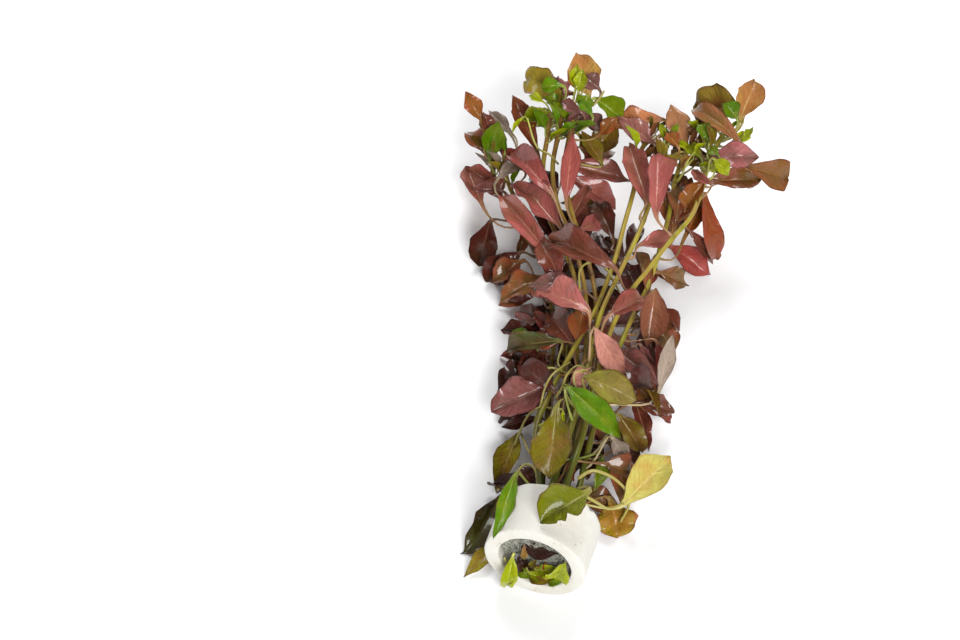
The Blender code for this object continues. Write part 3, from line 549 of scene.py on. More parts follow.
smallLeaves = [
    leaf("m3", 150, (-40, 159, 36), (-51, 157, 33), 10.5, "brown"),
    leaf("m3", 150, (-30, 159, 41), (-36, 160, 44), 7, "mauve"),
    leaf("m2", 148, (-37, 156, 42), (-38, 161, 48), 5, "lime"),
    leaf("m1", 145, (-41, 151, 39), (-47, 149, 38), 7, "green"),
    leaf("m1", 143, (-41, 146, 37), (-53, 145, 34), 10.5, "lime", cup=40),
    leaf("m3", 148, (-32, 153, 40), (-33, 149, 35), 7, "green"),
    leaf("m3", 141, (-33, 152, 34), (-26, 153, 28), 8, "dark"),
    leaf("m2", 138, (-32, 147, 31), (-26, 146, 22), 9, "olive"),
    leaf("r3", 148, (17, 155, 45), (12, 156, 49), 7, "green"),
    leaf("r3", 146, (17, 151, 39), (23, 156, 42), 4.5, "lime"),
    leaf("r3", 144, (9, 147, 41), (7, 151, 45), 4.5, "lime"),
    leaf("r3", 137, (9, 141, 38), (4, 144, 38), 5.5, "lime"),
    leaf("r4", 142, (5, 148, 32), (-2, 150, 30), 9, "olive"),
    leaf("r4", 98, (6, 110, 14), (14, 114, 6), 8, "brown"),
    leaf("r4", 108, (10, 127, 18), (13, 140, 23), 9, "orange"),
    leaf("l2", 84, (-24, 95, 17), (-34, 106, 17), 10.5, "wine"),
    leaf("l1", 66, (-24, 75, 9), (-37, 76, 7), 9, "dark", tone=0.6),
    leaf("l1", 40, (-17, 52, 8), (-28, 44, 3), 10.5, "dark"),
    leaf("l1", 11, (-15, 0, 3), (-20.5, -12, 2.5), 5.5, "olive", tone=0.7),
    leaf("r2", 46, (-3, 55, 25), (-7, 49, 23), 7, "salmon"),
    leaf("r4", 26, (10, 38, 17), (15, 33, 13), 7, "grey", tone=0.9),
    leaf("r4", 30, (13, 38, 12), (17, 22, 9), 9, "brown"),
    leaf("r4", 36, (12, 44, 8), (19, 33, 4), 9, "mauve"),
    leaf("r4", 46, (14, 57, 8), (24, 59, 5), 9, "wine"),
    leaf("r4", 50, (18, 61, 9), (17, 79, 15), 5.5, "grey", tone=1.25, flush=0),
    leaf("m3", 56, (11, 64, 12), (19, 57, 8), 9, "brown"),
    leaf("m3", 66, (7, 88, 12), (15, 72, 7), 10.5, "dark"),
    leaf("r4", 78, (9, 97, 9), (16, 83, 4), 10.5, "brown"),
    leaf("m1", 100, (-29, 110, 24), (-50, 125, 24), 10.5, "pink"),
    leaf("l2", 88, (-31, 98, 8), (-42, 88, 4), 10.5, "brown"),
    leaf("m1", 116, (-37, 127, 17), (-46, 136, 19), 10.5, "dark"),
    leaf("m1", 104, (-30, 113, 14), (-38, 125, 15), 10.5, "dark"),
    leaf("r1", 104, (-12, 115, 20), (-22, 130, 19), 8, "dark"),
    leaf("m3", 98, (-21, 109, 26), (-17, 118, 22), 7, "pink"),
    leaf("l1", 135, (-60.5, 137, 21), (-61, 148, 27), 9, "green"),
    leaf("l1", 137, (-67, 147, 27), (-74, 152, 33), 7, "orange"),
    leaf("l2", 134, (-58, 150, 21), (-67, 156, 23), 5.5, "grey"),
    leaf("l1", 130, (-65, 143, 17), (-73, 151, 17), 9, "brown"),
    leaf("l1", 120, (-60, 126, 10), (-70, 140, 11), 9, "pink"),
]


def lowerLeaves():  # leaves low in the bunch, each stem bearing some on its own side
    rng = random.Random(7)
    rows = []
    for name, side in lowLeaves["sides"].items():
        for step in range(lowLeaves["levels"]):
            shift = rng.uniform(-lowLeaves["stepShift"], lowLeaves["stepShift"])
            level = lowLeaves["start"] + lowLeaves["step"] * (step + shift)
            x, z = levelOn(stemRoutes[name], level)
            heading = math.radians(side * rng.uniform(*lowLeaves["turn"]))
            away = Vector((math.sin(heading), math.cos(heading), 0))
            base = Vector((x, level, min(z, lowLeaves["highest"])))
            base += away * rng.uniform(*lowLeaves["stalk"])
            base.z += rng.uniform(*lowLeaves["sink"])
            tip = base + away * rng.uniform(*lowLeaves["length"])
            tip.x = min(max(tip.x, lowLeaves["left"]), lowLeaves["right"])
            tip.z = max(base.z - rng.uniform(*lowLeaves["drop"]), lowLeaves["lowest"])
            look = rng.choice(lowLeaves["looks"])
            rows.append(leaf(name, level - lowLeaves["below"], base, tip, rng.uniform(*lowLeaves["width"]),
                             look, face=0.2, cup=rng.uniform(*lowLeaves["cup"]),
                             roll=rng.uniform(*lowLeaves["roll"])))
    return rows


def levelOn(points, level):
    for (x0, y0, z0), (x1, y1, z1) in zip(points, points[1:]):
        if y0 <= level <= y1:
            part = (level - y0) / (y1 - y0)
            return x0 + (x1 - x0) * part, z0 + (z1 - z0) * part
    return points[-1][0], points[-1][2]


def smoothRoute(points, step):
    points = [Vector(p) * mm for p in points]
    padded = [points[0] * 2 - points[1]] + points + [points[-1] * 2 - points[-2]]
    route = []
    for i in range(1, len(padded) - 2):
        before, start, end, after = padded[i - 1:i + 3]
        count = max(1, round((end - start).length / step))
        for k in range(count):
            t = k / count
            route.append(0.5 * (2 * start + (end - before) * t
                                + (2 * before - 5 * start + 4 * end - after) * t * t
                                + (3 * start - before - 3 * end + after) * t ** 3))
    route.append(padded[-2])
    return route


def stemRadius(route, i):
    return growth["stemFoot"] + (growth["stemTop"] - growth["stemFoot"]) * i / (len(route) - 1)


def directionAt(route, i):
    return (route[min(i + 1, len(route) - 1)] - route[max(i - 1, 0)]).normalized()


def sideAndRise(route, i, sky=Vector((0, 0, 1))):  # the two directions across a route
    along = directionAt(route, i)
    side = along.cross(sky).normalized()
    return side, along.cross(side)


def stemSections(route, swell=0.0):
    sections = []
    sides = growth["stemSides"]
    for i, centre in enumerate(route):
        side, rise = sideAndRise(route, i)
        radius = stemRadius(route, i) + swell
        turns = [2 * math.pi * k / sides for k in range(sides)]
        sections.append([centre + radius * (math.cos(a) * side + math.sin(a) * rise) for a in turns])
    return sections


def segmentAt(route, level):
    last = len(route) - 2
    for i in range(len(route) - 1):
        if route[i].y <= level <= route[i + 1].y or i == last:
            part = (level - route[i].y) / (route[i + 1].y - route[i].y)
            return i, min(max(part, 0.15), 0.85)


def seatOnSurface(row, route):  # root, way out and way along, on the side of the leaf's blade
    i, part = segmentAt(route, row["at"])
    anchor = route[i].lerp(route[i + 1], part)
    along = directionAt(route, i)
    outward = row["base"] - anchor
    outward = (outward - outward.dot(along) * along).normalized()
    return anchor + outward * (stemRadius(route, i) + growth["gap"]), outward, along


def seatOnFace(row, route, rings, taken):  # the free side of the stem that looks most towards the blade
    i, part = segmentAt(route, row["at"])
    anchor = route[i].lerp(route[i + 1], part)
    along = directionAt(route, i)
    want = (row["base"] - anchor).normalized()
    sides = growth["stemSides"]
    best = None
    for k in range(sides):
        if (i, k) in taken:
            continue
        near = (rings[i][k] + rings[i][(k + 1) % sides]) / 2
        far = (rings[i + 1][k] + rings[i + 1][(k + 1) % sides]) / 2
        root = near.lerp(far, part)
        outward = root - anchor
        outward = (outward - outward.dot(along) * along).normalized()
        if best is None or outward.dot(want) > best[0]:
            best = (outward.dot(want), (i, k), root, outward)
    return best[1], (best[2], best[3], along)


def bezier(a, b, c, d, t):
    s = 1 - t
    return a * s ** 3 + b * (3 * s * s * t) + c * (3 * s * t * t) + d * t ** 3


def smoothStep(t):
    t = min(max(t, 0.0), 1.0)
    return t * t * (3 - 2 * t)


def outline(t, widest, taper, point):  # share of the full width, drawn out at the base
    if t < widest:
        return math.sin(math.pi / 2 * t / widest) ** taper
    return math.sin(math.pi / 2 * (1 - t) / (1 - widest)) ** point


def bladeAxes(row):
    forward = (row["tip"] - row["base"]).normalized()
    sky = Vector((0, 0, 1)).lerp(growth["front"], row["face"])
    side = Quaternion(forward, math.radians(row["roll"])) @ forward.cross(sky).normalized()
    return forward, side, side.cross(forward)


def leafLine(row, seat, stalkParts, bladeParts):  # points down the middle, with their share of the blade
    root, outward, along = seat
    base, tip = row["base"], row["tip"]
    forward, side, normal = bladeAxes(row)
    arch = math.tan(math.radians(row["bend"]) / 2)
    sway = math.tan(math.radians(row["sway"]) / 2)
    leave = (forward + normal * arch + side * sway).normalized()
    arrive = (forward - normal * arch - side * sway).normalized()
    reach = (base - root).length * 0.4
    third = (tip - base).length / 3
    stalk = (root, root + outward * reach + along * reach * 0.25, base - leave * reach, base)
    blade = (base, base + leave * third, tip - arrive * third, tip)
    line = [(bezier(*stalk, t), 0.0) for t in stalkParts]
    line += [(bezier(*blade, t), t) for t in bladeParts]
    return line, bezier(*blade, row["fold_at"])


def acrossAndUp(line, i, outward, side, twist):  # the two directions across a leaf's line
    ahead = line[min(i + 1, len(line) - 1)][0]
    behind = line[max(i - 1, 0)][0]
    tangent = outward if i == 0 else (ahead - behind).normalized()
    across = (side - side.dot(tangent) * tangent).normalized()
    across = Quaternion(tangent, math.radians(twist) * line[i][1]) @ across
    return across, across.cross(tangent)


def folded(point, t, row, crease, side):  # where a point goes when the tip is folded over
    if not row["fold"] or t <= row["fold_at"]:
        return point
    amount = smoothStep((t - row["fold_at"]) / growth["crease"])
    return crease + Quaternion(side, -math.radians(row["fold"]) * amount) @ (point - crease)


def leafSections(row, seat, steps, swell=0.0):  # the plain form that the room is tested with
    stalkParts = [k / steps[0] for k in range(steps[0])]
    bladeParts = [k / steps[1] for k in range(steps[1] + 1)]
    line, crease = leafLine(row, seat, stalkParts, bladeParts)
    side = bladeAxes(row)[1]
    stalk = growth["stalk"]
    sections = []
    for i, (centre, t) in enumerate(line):
        across, up = acrossAndUp(line, i, seat[1], side, row["twist"])
        half = max(stalk, row["width"] / 2 * outline(t, *growth["outline"]))
        thick = 2 * stalk + (growth["blade"] - 2 * stalk) * smoothStep(4 * t)
        if t == 1:
            half = thick = growth["tip"]
        half += swell
        thick += 2 * swell
        lift = math.radians(row["cup"]) * smoothStep(3 * t)
        out = across * half * math.cos(lift)
        rise = up * half * math.sin(lift)
        ring = [centre - out + rise, centre + up * thick / 2, centre + out + rise, centre - up * thick / 2]
        sections.append([folded(p, t, row, crease, side) for p in ring])
    return sections


def skin(sections):
    count = len(sections[0])
    points = [p for section in sections for p in section]
    faces = []
    for i in range(len(sections) - 1):
        for k in range(count):
            a, b = i * count + k, i * count + (k + 1) % count
            c, d = b + count, a + count
            faces.extend(((a, b, c), (a, c, d), (a, b, d), (b, c, d)))
    return points, faces


def boxOf(points):
    low = [min(p[i] for p in points) for i in range(3)]
    high = [max(p[i] for p in points) for i in range(3)]
    return low, high


def boxesMeet(one, other):
    return all(one[0][i] <= other[1][i] and other[0][i] <= one[1][i] for i in range(3))


def addToCrowd(crowd, name, points, faces):
    crowd.append((name, boxOf(points), BVHTree.FromPolygons(points, faces)))


def touches(crowd, points, faces, ownStem):
    box = boxOf(points)
    tree = None
    for name, otherBox, otherTree in crowd:
        if name == ownStem or not boxesMeet(box, otherBox):
            continue
        tree = tree or BVHTree.FromPolygons(points, faces)
        if tree.overlap(otherTree):
            return True
    return False


def smallChanges():  # changes of place to try, the smallest first
    changes = []
    for rise in growth["rises"]:
        for tipRise in growth["tipRises"]:
            for roll in growth["rolls"]:
                cost = abs(rise) + growth["tipRiseCost"] * abs(tipRise) + growth["rollCost"] * abs(roll)
                changes.append((cost, rise * mm, tipRise * mm, roll))
    return sorted(changes)


changesToTry = smallChanges()


def settle(row, seat, steps, crowd, ownStem=None, clearance=growth["clearance"], tries=None,
           up=Vector((0, 0, 1))):  # the first small change with which a leaf cuts through nothing
    for _, rise, tipRise, roll in changesToTry[:tries]:
        moved = dict(row)
        moved["base"] = row["base"] + up * rise
        moved["tip"] = row["tip"] + up * (rise + tipRise)
        moved["roll"] = row["roll"] + roll
        if row["lies"]:
            points, _ = skin(leafSections(moved, seat, steps, clearance / 2))
            drop = Vector((0, 0, min(p.z for p in points) - growth["tableClearance"]))
            moved["base"] = moved["base"] - drop
            moved["tip"] = moved["tip"] - drop
        points, faces = skin(leafSections(moved, seat, steps, clearance / 2))
        if min(p.z for p in points) >= 0 and not touches(crowd, points, faces, ownStem):
            return moved, points, faces
    return None, None, None


# Leaves as they are seen

leafForm = {
    "spread": (-1, -0.74, -0.44, -0.15, 0, 0.15, 0.44, 0.74, 1),  # points across the blade
    "rings": (7, 26),  # along the stalk and along the blade
    "smallRings": (4, 14),
    "usual": 12 * mm,  # the width that waves and unevenness are meant for
    "thickness": 0.28 * mm,
    "thin": 0.62,  # the stalk's share of its plain radius
    "foot": (0.6, 0.9 * mm),  # how much wider it begins, and how soon that fades
    "smallStalk": 0.6,
    "groove": 0.14 * mm,
    "rib": 0.34 * mm,
    "into": 0.9 * mm,  # how far a stalk starts inside its stem
    "widest": (0.4, 0.56),  # share of the blade's length
    "taper": (1.15, 1.5),
    "point": (1.05, 1.45),
    "corners": (0, 0.16, 0.34, 0.52, 0.7, 0.86, 1),  # where the rim may turn
    "cornerShift": 0.05,
    "cornerReach": 0.07,
    "turn": (-22, 22),  # degrees of twist from base to tip
    "deeper": (0, 16),  # degrees added to the fold down the middle
    "droop": (-0.6, 0.25),
    "wing": 0.11,  # how much of the width is already there where the blade begins
    "wave": (0.5 * mm, 1.5 * mm),
    "waves": (1.2, 2.9),
    "start": (0, 6.3),  # where in its turn a wave begins
    "curl": (-0.2, 0.35),
    "rim": 0.045,  # share of the width by which the rim wanders
    "unevenness": 1.1 * mm,
    "tip": 0.2,
    "sharpFrom": 0.12,  # share of the blade beyond which its rim is sharp
    "tone": (0.1, 0.9),
    "flush": (0.2, 0.8),
    "table": 0.2 * mm,  # no part of a leaf is lower
}
vertexValues = ("across", "along", "under", "stalk", "tone", "flush")


def valueLayers(bm, names):
    return [bm.verts.layers.float.get(name) or bm.verts.layers.float.new(name) for name in names]


def drawOut(bm, segments, count, place, material=0):  # a closed form out of a circle, ring by ring
    start = bmesh.ops.create_circle(bm, segments=segments, radius=mm)["verts"]
    cap = bm.faces.new(start)
    cap.material_index = material
    place(start, 0)
    for i in range(1, count):
        cap = bmesh.ops.extrude_discrete_faces(bm, faces=[cap])["faces"][0]
        place(cap.verts, i)
    bm.faces.new(list(reversed(start))).material_index = material


def bladeShare(k, count):  # steps down the blade, closer together at both ends
    even = k / count
    return 0.5 * even + 0.5 * (0.5 - 0.5 * math.cos(math.pi * even))


def cornered(shape, rng):  # the outline of one side, drawn with straight lines between a few corners
    rim = []
    for t in leafForm["corners"]:
        if 0 < t < 1:
            t += rng.uniform(-leafForm["cornerShift"], leafForm["cornerShift"])
        rim.append((t, outline(t, *shape) * (1 + rng.uniform(-1, 1) * leafForm["cornerReach"])))
    return rim


def between(rim, t):
    for (t0, reach0), (t1, reach1) in zip(rim, rim[1:]):
        if t <= t1:
            return reach0 + (reach1 - reach0) * (t - t0) / (t1 - t0)
    return rim[-1][1]


def fineRings(row, seat, rng):  # rings of a point each with its vertex values, from the root to the tip
    root, outward, along = seat
    deep = (root - outward * leafForm["into"], outward, along)
    stalkRings, bladeRings = leafForm["smallRings" if row.get("small") else "rings"]
    line, crease = leafLine(row, deep, [k / stalkRings for k in range(stalkRings)],
                            [bladeShare(k, bladeRings) for k in range(bladeRings + 1)])
    side = bladeAxes(row)[1]
    size = row["width"] / leafForm["usual"]
    wave = rng.uniform(*leafForm["wave"]) * size
    waves = rng.uniform(*leafForm["waves"])
    starts = (rng.uniform(*leafForm["start"]), rng.uniform(*leafForm["start"]))
    curl = (rng.uniform(*leafForm["curl"]), rng.uniform(*leafForm["curl"]))
    seed = rng.uniform(0, 90)
    shape = [row.get(name, rng.uniform(*leafForm[name])) for name in ("widest", "taper", "point")]
    turn = rng.uniform(*leafForm["turn"])
    deeper = rng.uniform(*leafForm["deeper"])
    droop = rng.uniform(*leafForm["droop"]) * (row["tip"] - row["base"]).length
    nicks = row.get("nicks", ())
    rims = [cornered(shape, rng), cornered(shape, rng)]
    rings = []
    for i, (centre, t) in enumerate(line):
        share = min(1.0, i / stalkRings)
        across, up = acrossAndUp(line, i, outward, side, row["twist"] + turn)
        out = max((centre - deep[0]).length - leafForm["into"], 0)
        wider, fade = leafForm["foot"]
        stalk = growth["stalk"] * (leafForm["thin"] + wider * math.exp(-out / fade))
        if row.get("small"):
            stalk *= leafForm["smallStalk"]
        wing = leafForm["wing"] * row["width"] * share ** 1.5 * (1 - t) ** 2
        halves = [max(stalk * (1 - 0.8 * t), row["width"] / 2 * between(rim, t) + wing) for rim in rims]
        opened = 0.8 * share ** 2 + 0.2 * smoothStep(5 * t)
        thick = leafForm["thickness"]
        lift = math.radians(row["cup"] + deeper) * (0.4 * share ** 2 + 0.6 * smoothStep(3 * t))
        centre = centre + up * droop * max(0.0, t - 0.45) ** 2
        ring = []
        for k in range(16):
            top = k <= 8
            u = leafForm["spread"][k if top else 16 - k]
            away = abs(u)
            a = math.pi * (1 - k / 8)
            rod = (stalk * math.cos(a), stalk * math.sin(a))
            edge = 0 if u < 0 else 1
            half = halves[edge] if u else (halves[0] + halves[1]) / 2
            reach = half * (1 + leafForm["rim"] * noise.noise(Vector((t * 9, edge * 7, seed))) * away)
            for nickSide, at, length, depth in nicks:
                if nickSide * u > 0:
                    reach *= 1 - depth * max(0.0, 1 - abs(t - at) / length) ** 0.6
            height = half * math.sin(lift) * away ** 1.2 + half * curl[edge] * away ** 3
            height += wave * away * away * math.sin(waves * 6.28 * t + starts[edge]) * smoothStep(3 * t)
            height += leafForm["unevenness"] * size * noise.noise(Vector((u * 1.3, t * 2.6, seed + 9)))
            body = thick / 2 * (1 - away ** 4)
            if top:
                height += body - (leafForm["groove"] * (1 - 0.6 * t) if u == 0 else 0)
            else:
                height -= body + (leafForm["rib"] * (1 - t) if u == 0 else 0)
            flat = (u * reach * math.cos(lift), height)
            point = centre + across * (rod[0] + (flat[0] - rod[0]) * opened)
            point += up * (rod[1] + (flat[1] - rod[1]) * opened)
            if t == 1:
                point = centre + (point - centre) * leafForm["tip"]
            point = folded(point, t, row, crease, side)
            lowest = leafForm["table"]
            if top:
                lowest += thick if away < 1 else thick / 2
            point.z = max(point.z, lowest)
            under = 0.5 if away == 1 else (0.0 if top else 1.0)
            ring.append((point, u, t, under, 1 - smoothStep(((share - 1) * 0.3 + t + 0.12) / 0.2)))
        rings.append(ring)
    return rings


def growLeaf(bm, row, seat, seed, material=0):
    layers = valueLayers(bm, vertexValues)
    rng = random.Random(seed)
    tone = row.get("tone", rng.uniform(*leafForm["tone"]))
    flush = row.get("flush", rng.uniform(*leafForm["flush"]))
    rings = fineRings(row, seat, rng)

    def place(vertices, i):
        for vertex, (point, u, t, under, stalk) in zip(vertices, rings[i]):
            vertex.co = point
            for layer, value in zip(layers, (u, t, under, stalk, tone, flush)):
                vertex[layer] = value
        if t > leafForm["sharpFrom"]:
            for rim in (vertices[0], vertices[8]):
                for edge in rim.link_edges:
                    if abs(edge.other_vert(rim)[layers[0]]) == 1:
                        edge.smooth = False

    drawOut(bm, 16, len(rings), place, material)


def tinted(material, name, tints):  # a look with some colours of one leaf's own
    own = material.copy()
    own.name = name
    surface = next(node for node in own.node_tree.nodes if node.type == "GROUP")
    for title, colour in tints.items():
        surface.inputs[title].default_value = srgb(*colour)
    return own


def dressLeaf(name, node, row, seat, materials):
    row.update(leafDetails.get(node, {}))
    bm = bmesh.new()
    growLeaf(bm, row, seat, node)
    bmesh.ops.recalc_face_normals(bm, faces=bm.faces)
    piece = meshObject(name, bm, [tinted(materials[row["look"]], node, row.get("tints", {}))])
    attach(piece, "root")
    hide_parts(node)


# Stems as they are seen, with all the small leaves that grow from them

stemForm = {
    "step": 1.6 * mm,
    "sides": 16,
    "nodeSwell": 0.2,  # share of the radius
    "nodeLength": 1.1 * mm,
    "ridges": 0.05,
    "ridgeCount": 4,
    "slimmer": (0.16, 0.38, 0.2),  # at the foot, half way up and at the top
    "wander": 0.06,
    "end": 0.45,  # the last ring's share of the radius
}
stalkForm = {
    "step": 0.9 * mm,
    "sides": 8,
    "narrowing": 0.2,
    "sky": Vector((0.3, 0.2, 1)),
    "values": (0, 0, 0, 1, 0.7, 0.5),  # the vertex values, all of them stalk
}


def growStem(bm, route, levels, seed):  # levels are the places of its leaves
    layers = valueLayers(bm, ("along", "node", "tone"))
    tone = random.Random(seed).uniform(0, 1)
    sides = stemForm["sides"]
    last = len(route) - 1

    def place(vertices, i):
        side, rise = sideAndRise(route, i)
        foot, middle, top = stemForm["slimmer"]
        share = 2 * i / last
        slimmer = foot + (middle - foot) * share if share < 1 else middle + (top - middle) * (share - 1)
        steps = [(route[i].y - level) / stemForm["nodeLength"] for level in levels]
        node = max([math.exp(-step ** 2) for step in steps] or [0])
        for k, vertex in enumerate(vertices):
            a = 2 * math.pi * k / sides
            radius = stemRadius(route, i) * (1 + stemForm["nodeSwell"] * node)
            radius *= 1 - slimmer
            radius *= 1 + stemForm["ridges"] * math.cos(stemForm["ridgeCount"] * a)
            radius *= 1 + stemForm["wander"] * noise.noise(Vector((i * 0.25, math.cos(a), tone * 50)))
            if i == last:
                radius *= stemForm["end"]
            vertex.co = route[i] + radius * (math.cos(a) * side + math.sin(a) * rise)
            for layer, value in zip(layers, (i / last, node, tone)):
                vertex[layer] = value

    drawOut(bm, sides, len(route), place)


def growStalk(bm, points, radius, material):  # one bare leaf stalk
    layers = valueLayers(bm, vertexValues)
    route = smoothRoute(points, stalkForm["step"])
    sides = stalkForm["sides"]

    def place(vertices, i):
        side, rise = sideAndRise(route, i, stalkForm["sky"])
        thick = radius * mm * (1 - stalkForm["narrowing"] * i / len(route))
        for k, vertex in enumerate(vertices):
            a = 2 * math.pi * k / sides
            vertex.co = route[i] + thick * (math.cos(a) * side + math.sin(a) * rise)
            for layer, value in zip(layers, stalkForm["values"]):
                vertex[layer] = value

    drawOut(bm, sides, len(route), place, material)


def dressStem(name, shoots, levels, materials):
    bm = bmesh.new()
    kinds = ["stem_" + name[0]] + sorted({row["look"] for row, _ in shoots} | {"olive"})
    growStem(bm, smoothRoute(stemRoutes[name], stemForm["step"]), levels, name)
    for index, (row, seat) in enumerate(shoots):
        growLeaf(bm, row, seat, "%s shoot %d" % (name, index), kinds.index(row["look"]))
    for points, radius in bareStalks.get(name, ()):
        growStalk(bm, points, radius, kinds.index("olive"))
    bmesh.ops.recalc_face_normals(bm, faces=bm.faces)
    piece = meshObject("grown_stem_" + name, bm, [materials[kind] for kind in kinds])
    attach(piece, "root")
    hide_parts("stem_" + name)


# Ring and wool

ringForm = {
    "outer": 14.943 * mm,
    "bore": 10.75 * mm,
    "front": -10 * mm,
    "back": 7.6 * mm,
    "frontEdge": 0.5 * mm,
    "backEdge": 0.9 * mm,
    "steps": 144,
    "cuts": 11,  # along its length
    "unevenness": (0.10 * mm, 260),  # how much and how fine
    "rest": (0.6, 0.3),  # the strip it rests on stays even: half its turn and the fade
    "backWaves": (0.45 * mm, 210),
    "backReach": (2.5 * mm, 2.4 * mm),  # how far before the back they begin, and the fade
    # Turn, width and depth in millimetres of each chip, and how far from the axis they begin
    "chips": ((2.2, 0.10, 1.1), (3.0, 0.07, 0.8), (3.9, 0.12, 1.3), (5.3, 0.08, 0.9), (0.9, 0.09, 0.8)),
    "chipped": (12.4 * mm, 2 * mm),
}
woolForm = {
    "outer": 10.55 * mm,
    "inner": 6.9 * mm,
    "front": -7.2 * mm,
    "back": 6.4 * mm,
    "edge": 1.2 * mm,
    "steps": 72,
    "cuts": (7, 3),  # along its length and on its face
    "lumps": 0.8 * mm,
    "lumpDepth": 6 * mm,
    "free": (9.4 * mm, 0.9 * mm),  # it keeps to the bore from here, with a fade
    "wad": {"front": -6.2 * mm, "depth": 2.2 * mm, "radius": 8.2 * mm, "segments": (48, 24)},
}
fibreForm = {
    "count": 620,
    "length": (2.5 * mm, 7 * mm),
    "radius": 0.05 * mm,
    "steps": 5,
    "area": 9.6 * mm,
    "limit": 10.2 * mm,
    "bend": (-1.5, 1.5),
    "lift": (-0.5, 0.6),
    "rise": -0.7 * mm,
}


def roundedProfile(outer, bore, front, back, frontEdge, backEdge):  # closed, radius and place along Y
    profile = []
    corners = ((outer, front, frontEdge), (bore, front, frontEdge),
               (bore, back, backEdge), (outer, back, backEdge))
    for index, (radius, along, edge) in enumerate(corners):
        towardsAxis = -1 if radius == outer else 1
        inwards = 1 if along == front else -1
        for k in range(4):
            a = math.radians(30 * k if index % 2 == 0 else 90 - 30 * k)
            profile.append((radius + towardsAxis * edge * (1 - math.cos(a)),
                            along + inwards * edge * (1 - math.sin(a))))
    return profile


def spunRing(profile, steps, height):
    bm = bmesh.new()
    start = [bm.verts.new((0, along, -radius)) for radius, along in profile]
    edges = [bm.edges.new((start[i], start[(i + 1) % len(start)])) for i in range(len(start))]
    bmesh.ops.spin(bm, geom=start + edges, cent=(0, 0, 0), axis=(0, 1, 0), angle=2 * math.pi,
                   steps=steps, use_merge=True)
    bmesh.ops.recalc_face_normals(bm, faces=bm.faces)
    bmesh.ops.translate(bm, verts=bm.verts, vec=(0, 0, height))
    return bm


def cutLength(bm, longest, cuts):  # only the edges along Y are as long as that
    long = [e for e in bm.edges if abs(e.verts[0].co.y - e.verts[1].co.y) > longest]
    bmesh.ops.subdivide_edges(bm, edges=long, cuts=cuts, use_grid_fill=True)


def makeRing(materials):
    form = ringForm
    profile = roundedProfile(form["outer"], form["bore"], form["front"], form["back"],
                             form["frontEdge"], form["backEdge"])
    bm = spunRing(profile, form["steps"], form["outer"])
    cutLength(bm, 10 * mm, form["cuts"])
    uneven, unevenScale = form["unevenness"]
    waves, waveScale = form["backWaves"]
    axis = Vector((0, 0, form["outer"]))
    for vertex in bm.verts:
        spoke = Vector((vertex.co.x, 0, vertex.co.z - axis.z))
        radius = spoke.length
        turn = math.atan2(spoke.x, spoke.z) % (2 * math.pi)
        move = uneven * noise.noise(vertex.co * unevenScale)
        resting = smoothStep((form["rest"][0] - abs(turn - math.pi)) / form["rest"][1])
        vertex.co += spoke.normalized() * move * (1 - resting)
        backness = smoothStep((vertex.co.y - form["back"] + form["backReach"][0]) / form["backReach"][1])
        vertex.co.y -= backness * waves * (1 + noise.noise(vertex.co * waveScale))
        outside = smoothStep((radius - form["chipped"][0]) / form["chipped"][1])
        for at, width, depth in form["chips"]:
            near = max(0, 1 - ((turn - at) / width) ** 2)
            vertex.co.y -= backness * near * depth * mm * outside
    piece = meshObject("ceramic_ring", bm, [materials["ceramic"]])
    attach(piece, "root")
    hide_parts("ring")


def makeWool(materials):
    form = woolForm
    axis = ringForm["outer"]
    profile = roundedProfile(form["outer"], form["inner"], form["front"], form["back"],
                             form["edge"], form["edge"])
    bm = spunRing(profile, form["steps"], axis)
    cutLength(bm, 8 * mm, form["cuts"][0])
    faces = [f for f in bm.faces if abs(f.calc_center_median().y - form["front"]) < 0.1 * mm]
    edges = list(dict.fromkeys(e for f in faces for e in f.edges))
    bmesh.ops.subdivide_edges(bm, edges=edges, cuts=form["cuts"][1], use_grid_fill=True)
    wad = form["wad"]
    around, over = wad["segments"]
    made = bmesh.ops.create_uvsphere(bm, u_segments=around, v_segments=over, radius=wad["radius"])["verts"]
    bmesh.ops.scale(bm, verts=made, vec=(1, 1, wad["depth"] / wad["radius"]))
    bmesh.ops.rotate(bm, verts=made, cent=(0, 0, 0), matrix=Quaternion((1, 0, 0), math.pi / 2).to_matrix())
    bmesh.ops.translate(bm, verts=made, vec=(0, wad["front"] + wad["depth"], axis))
    for vertex in bm.verts:
        spoke = Vector((vertex.co.x, 0, vertex.co.z - axis))
        lump = noise.fractal(vertex.co * 420, 0.8, 2.0, 4)
        depth = smoothStep(-vertex.co.y / form["lumpDepth"])
        vertex.co.y -= form["lumps"] * lump * depth
        free = 1 - smoothStep((spoke.length - form["free"][0]) / form["free"][1])
        vertex.co += spoke.normalized() * 0.5 * form["lumps"] * noise.noise(vertex.co * 500) * free
    strands = fibreMesh(axis)
    bm.faces.ensure_lookup_table()
    before = len(bm.faces)
    bm.from_mesh(strands)
    bm.faces.ensure_lookup_table()
    for face in bm.faces[before:]:
        face.material_index = 1
    piece = meshObject("mineral_wool", bm, [materials["wool"], materials["fibre"]])
    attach(piece, "root")
    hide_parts("wool")


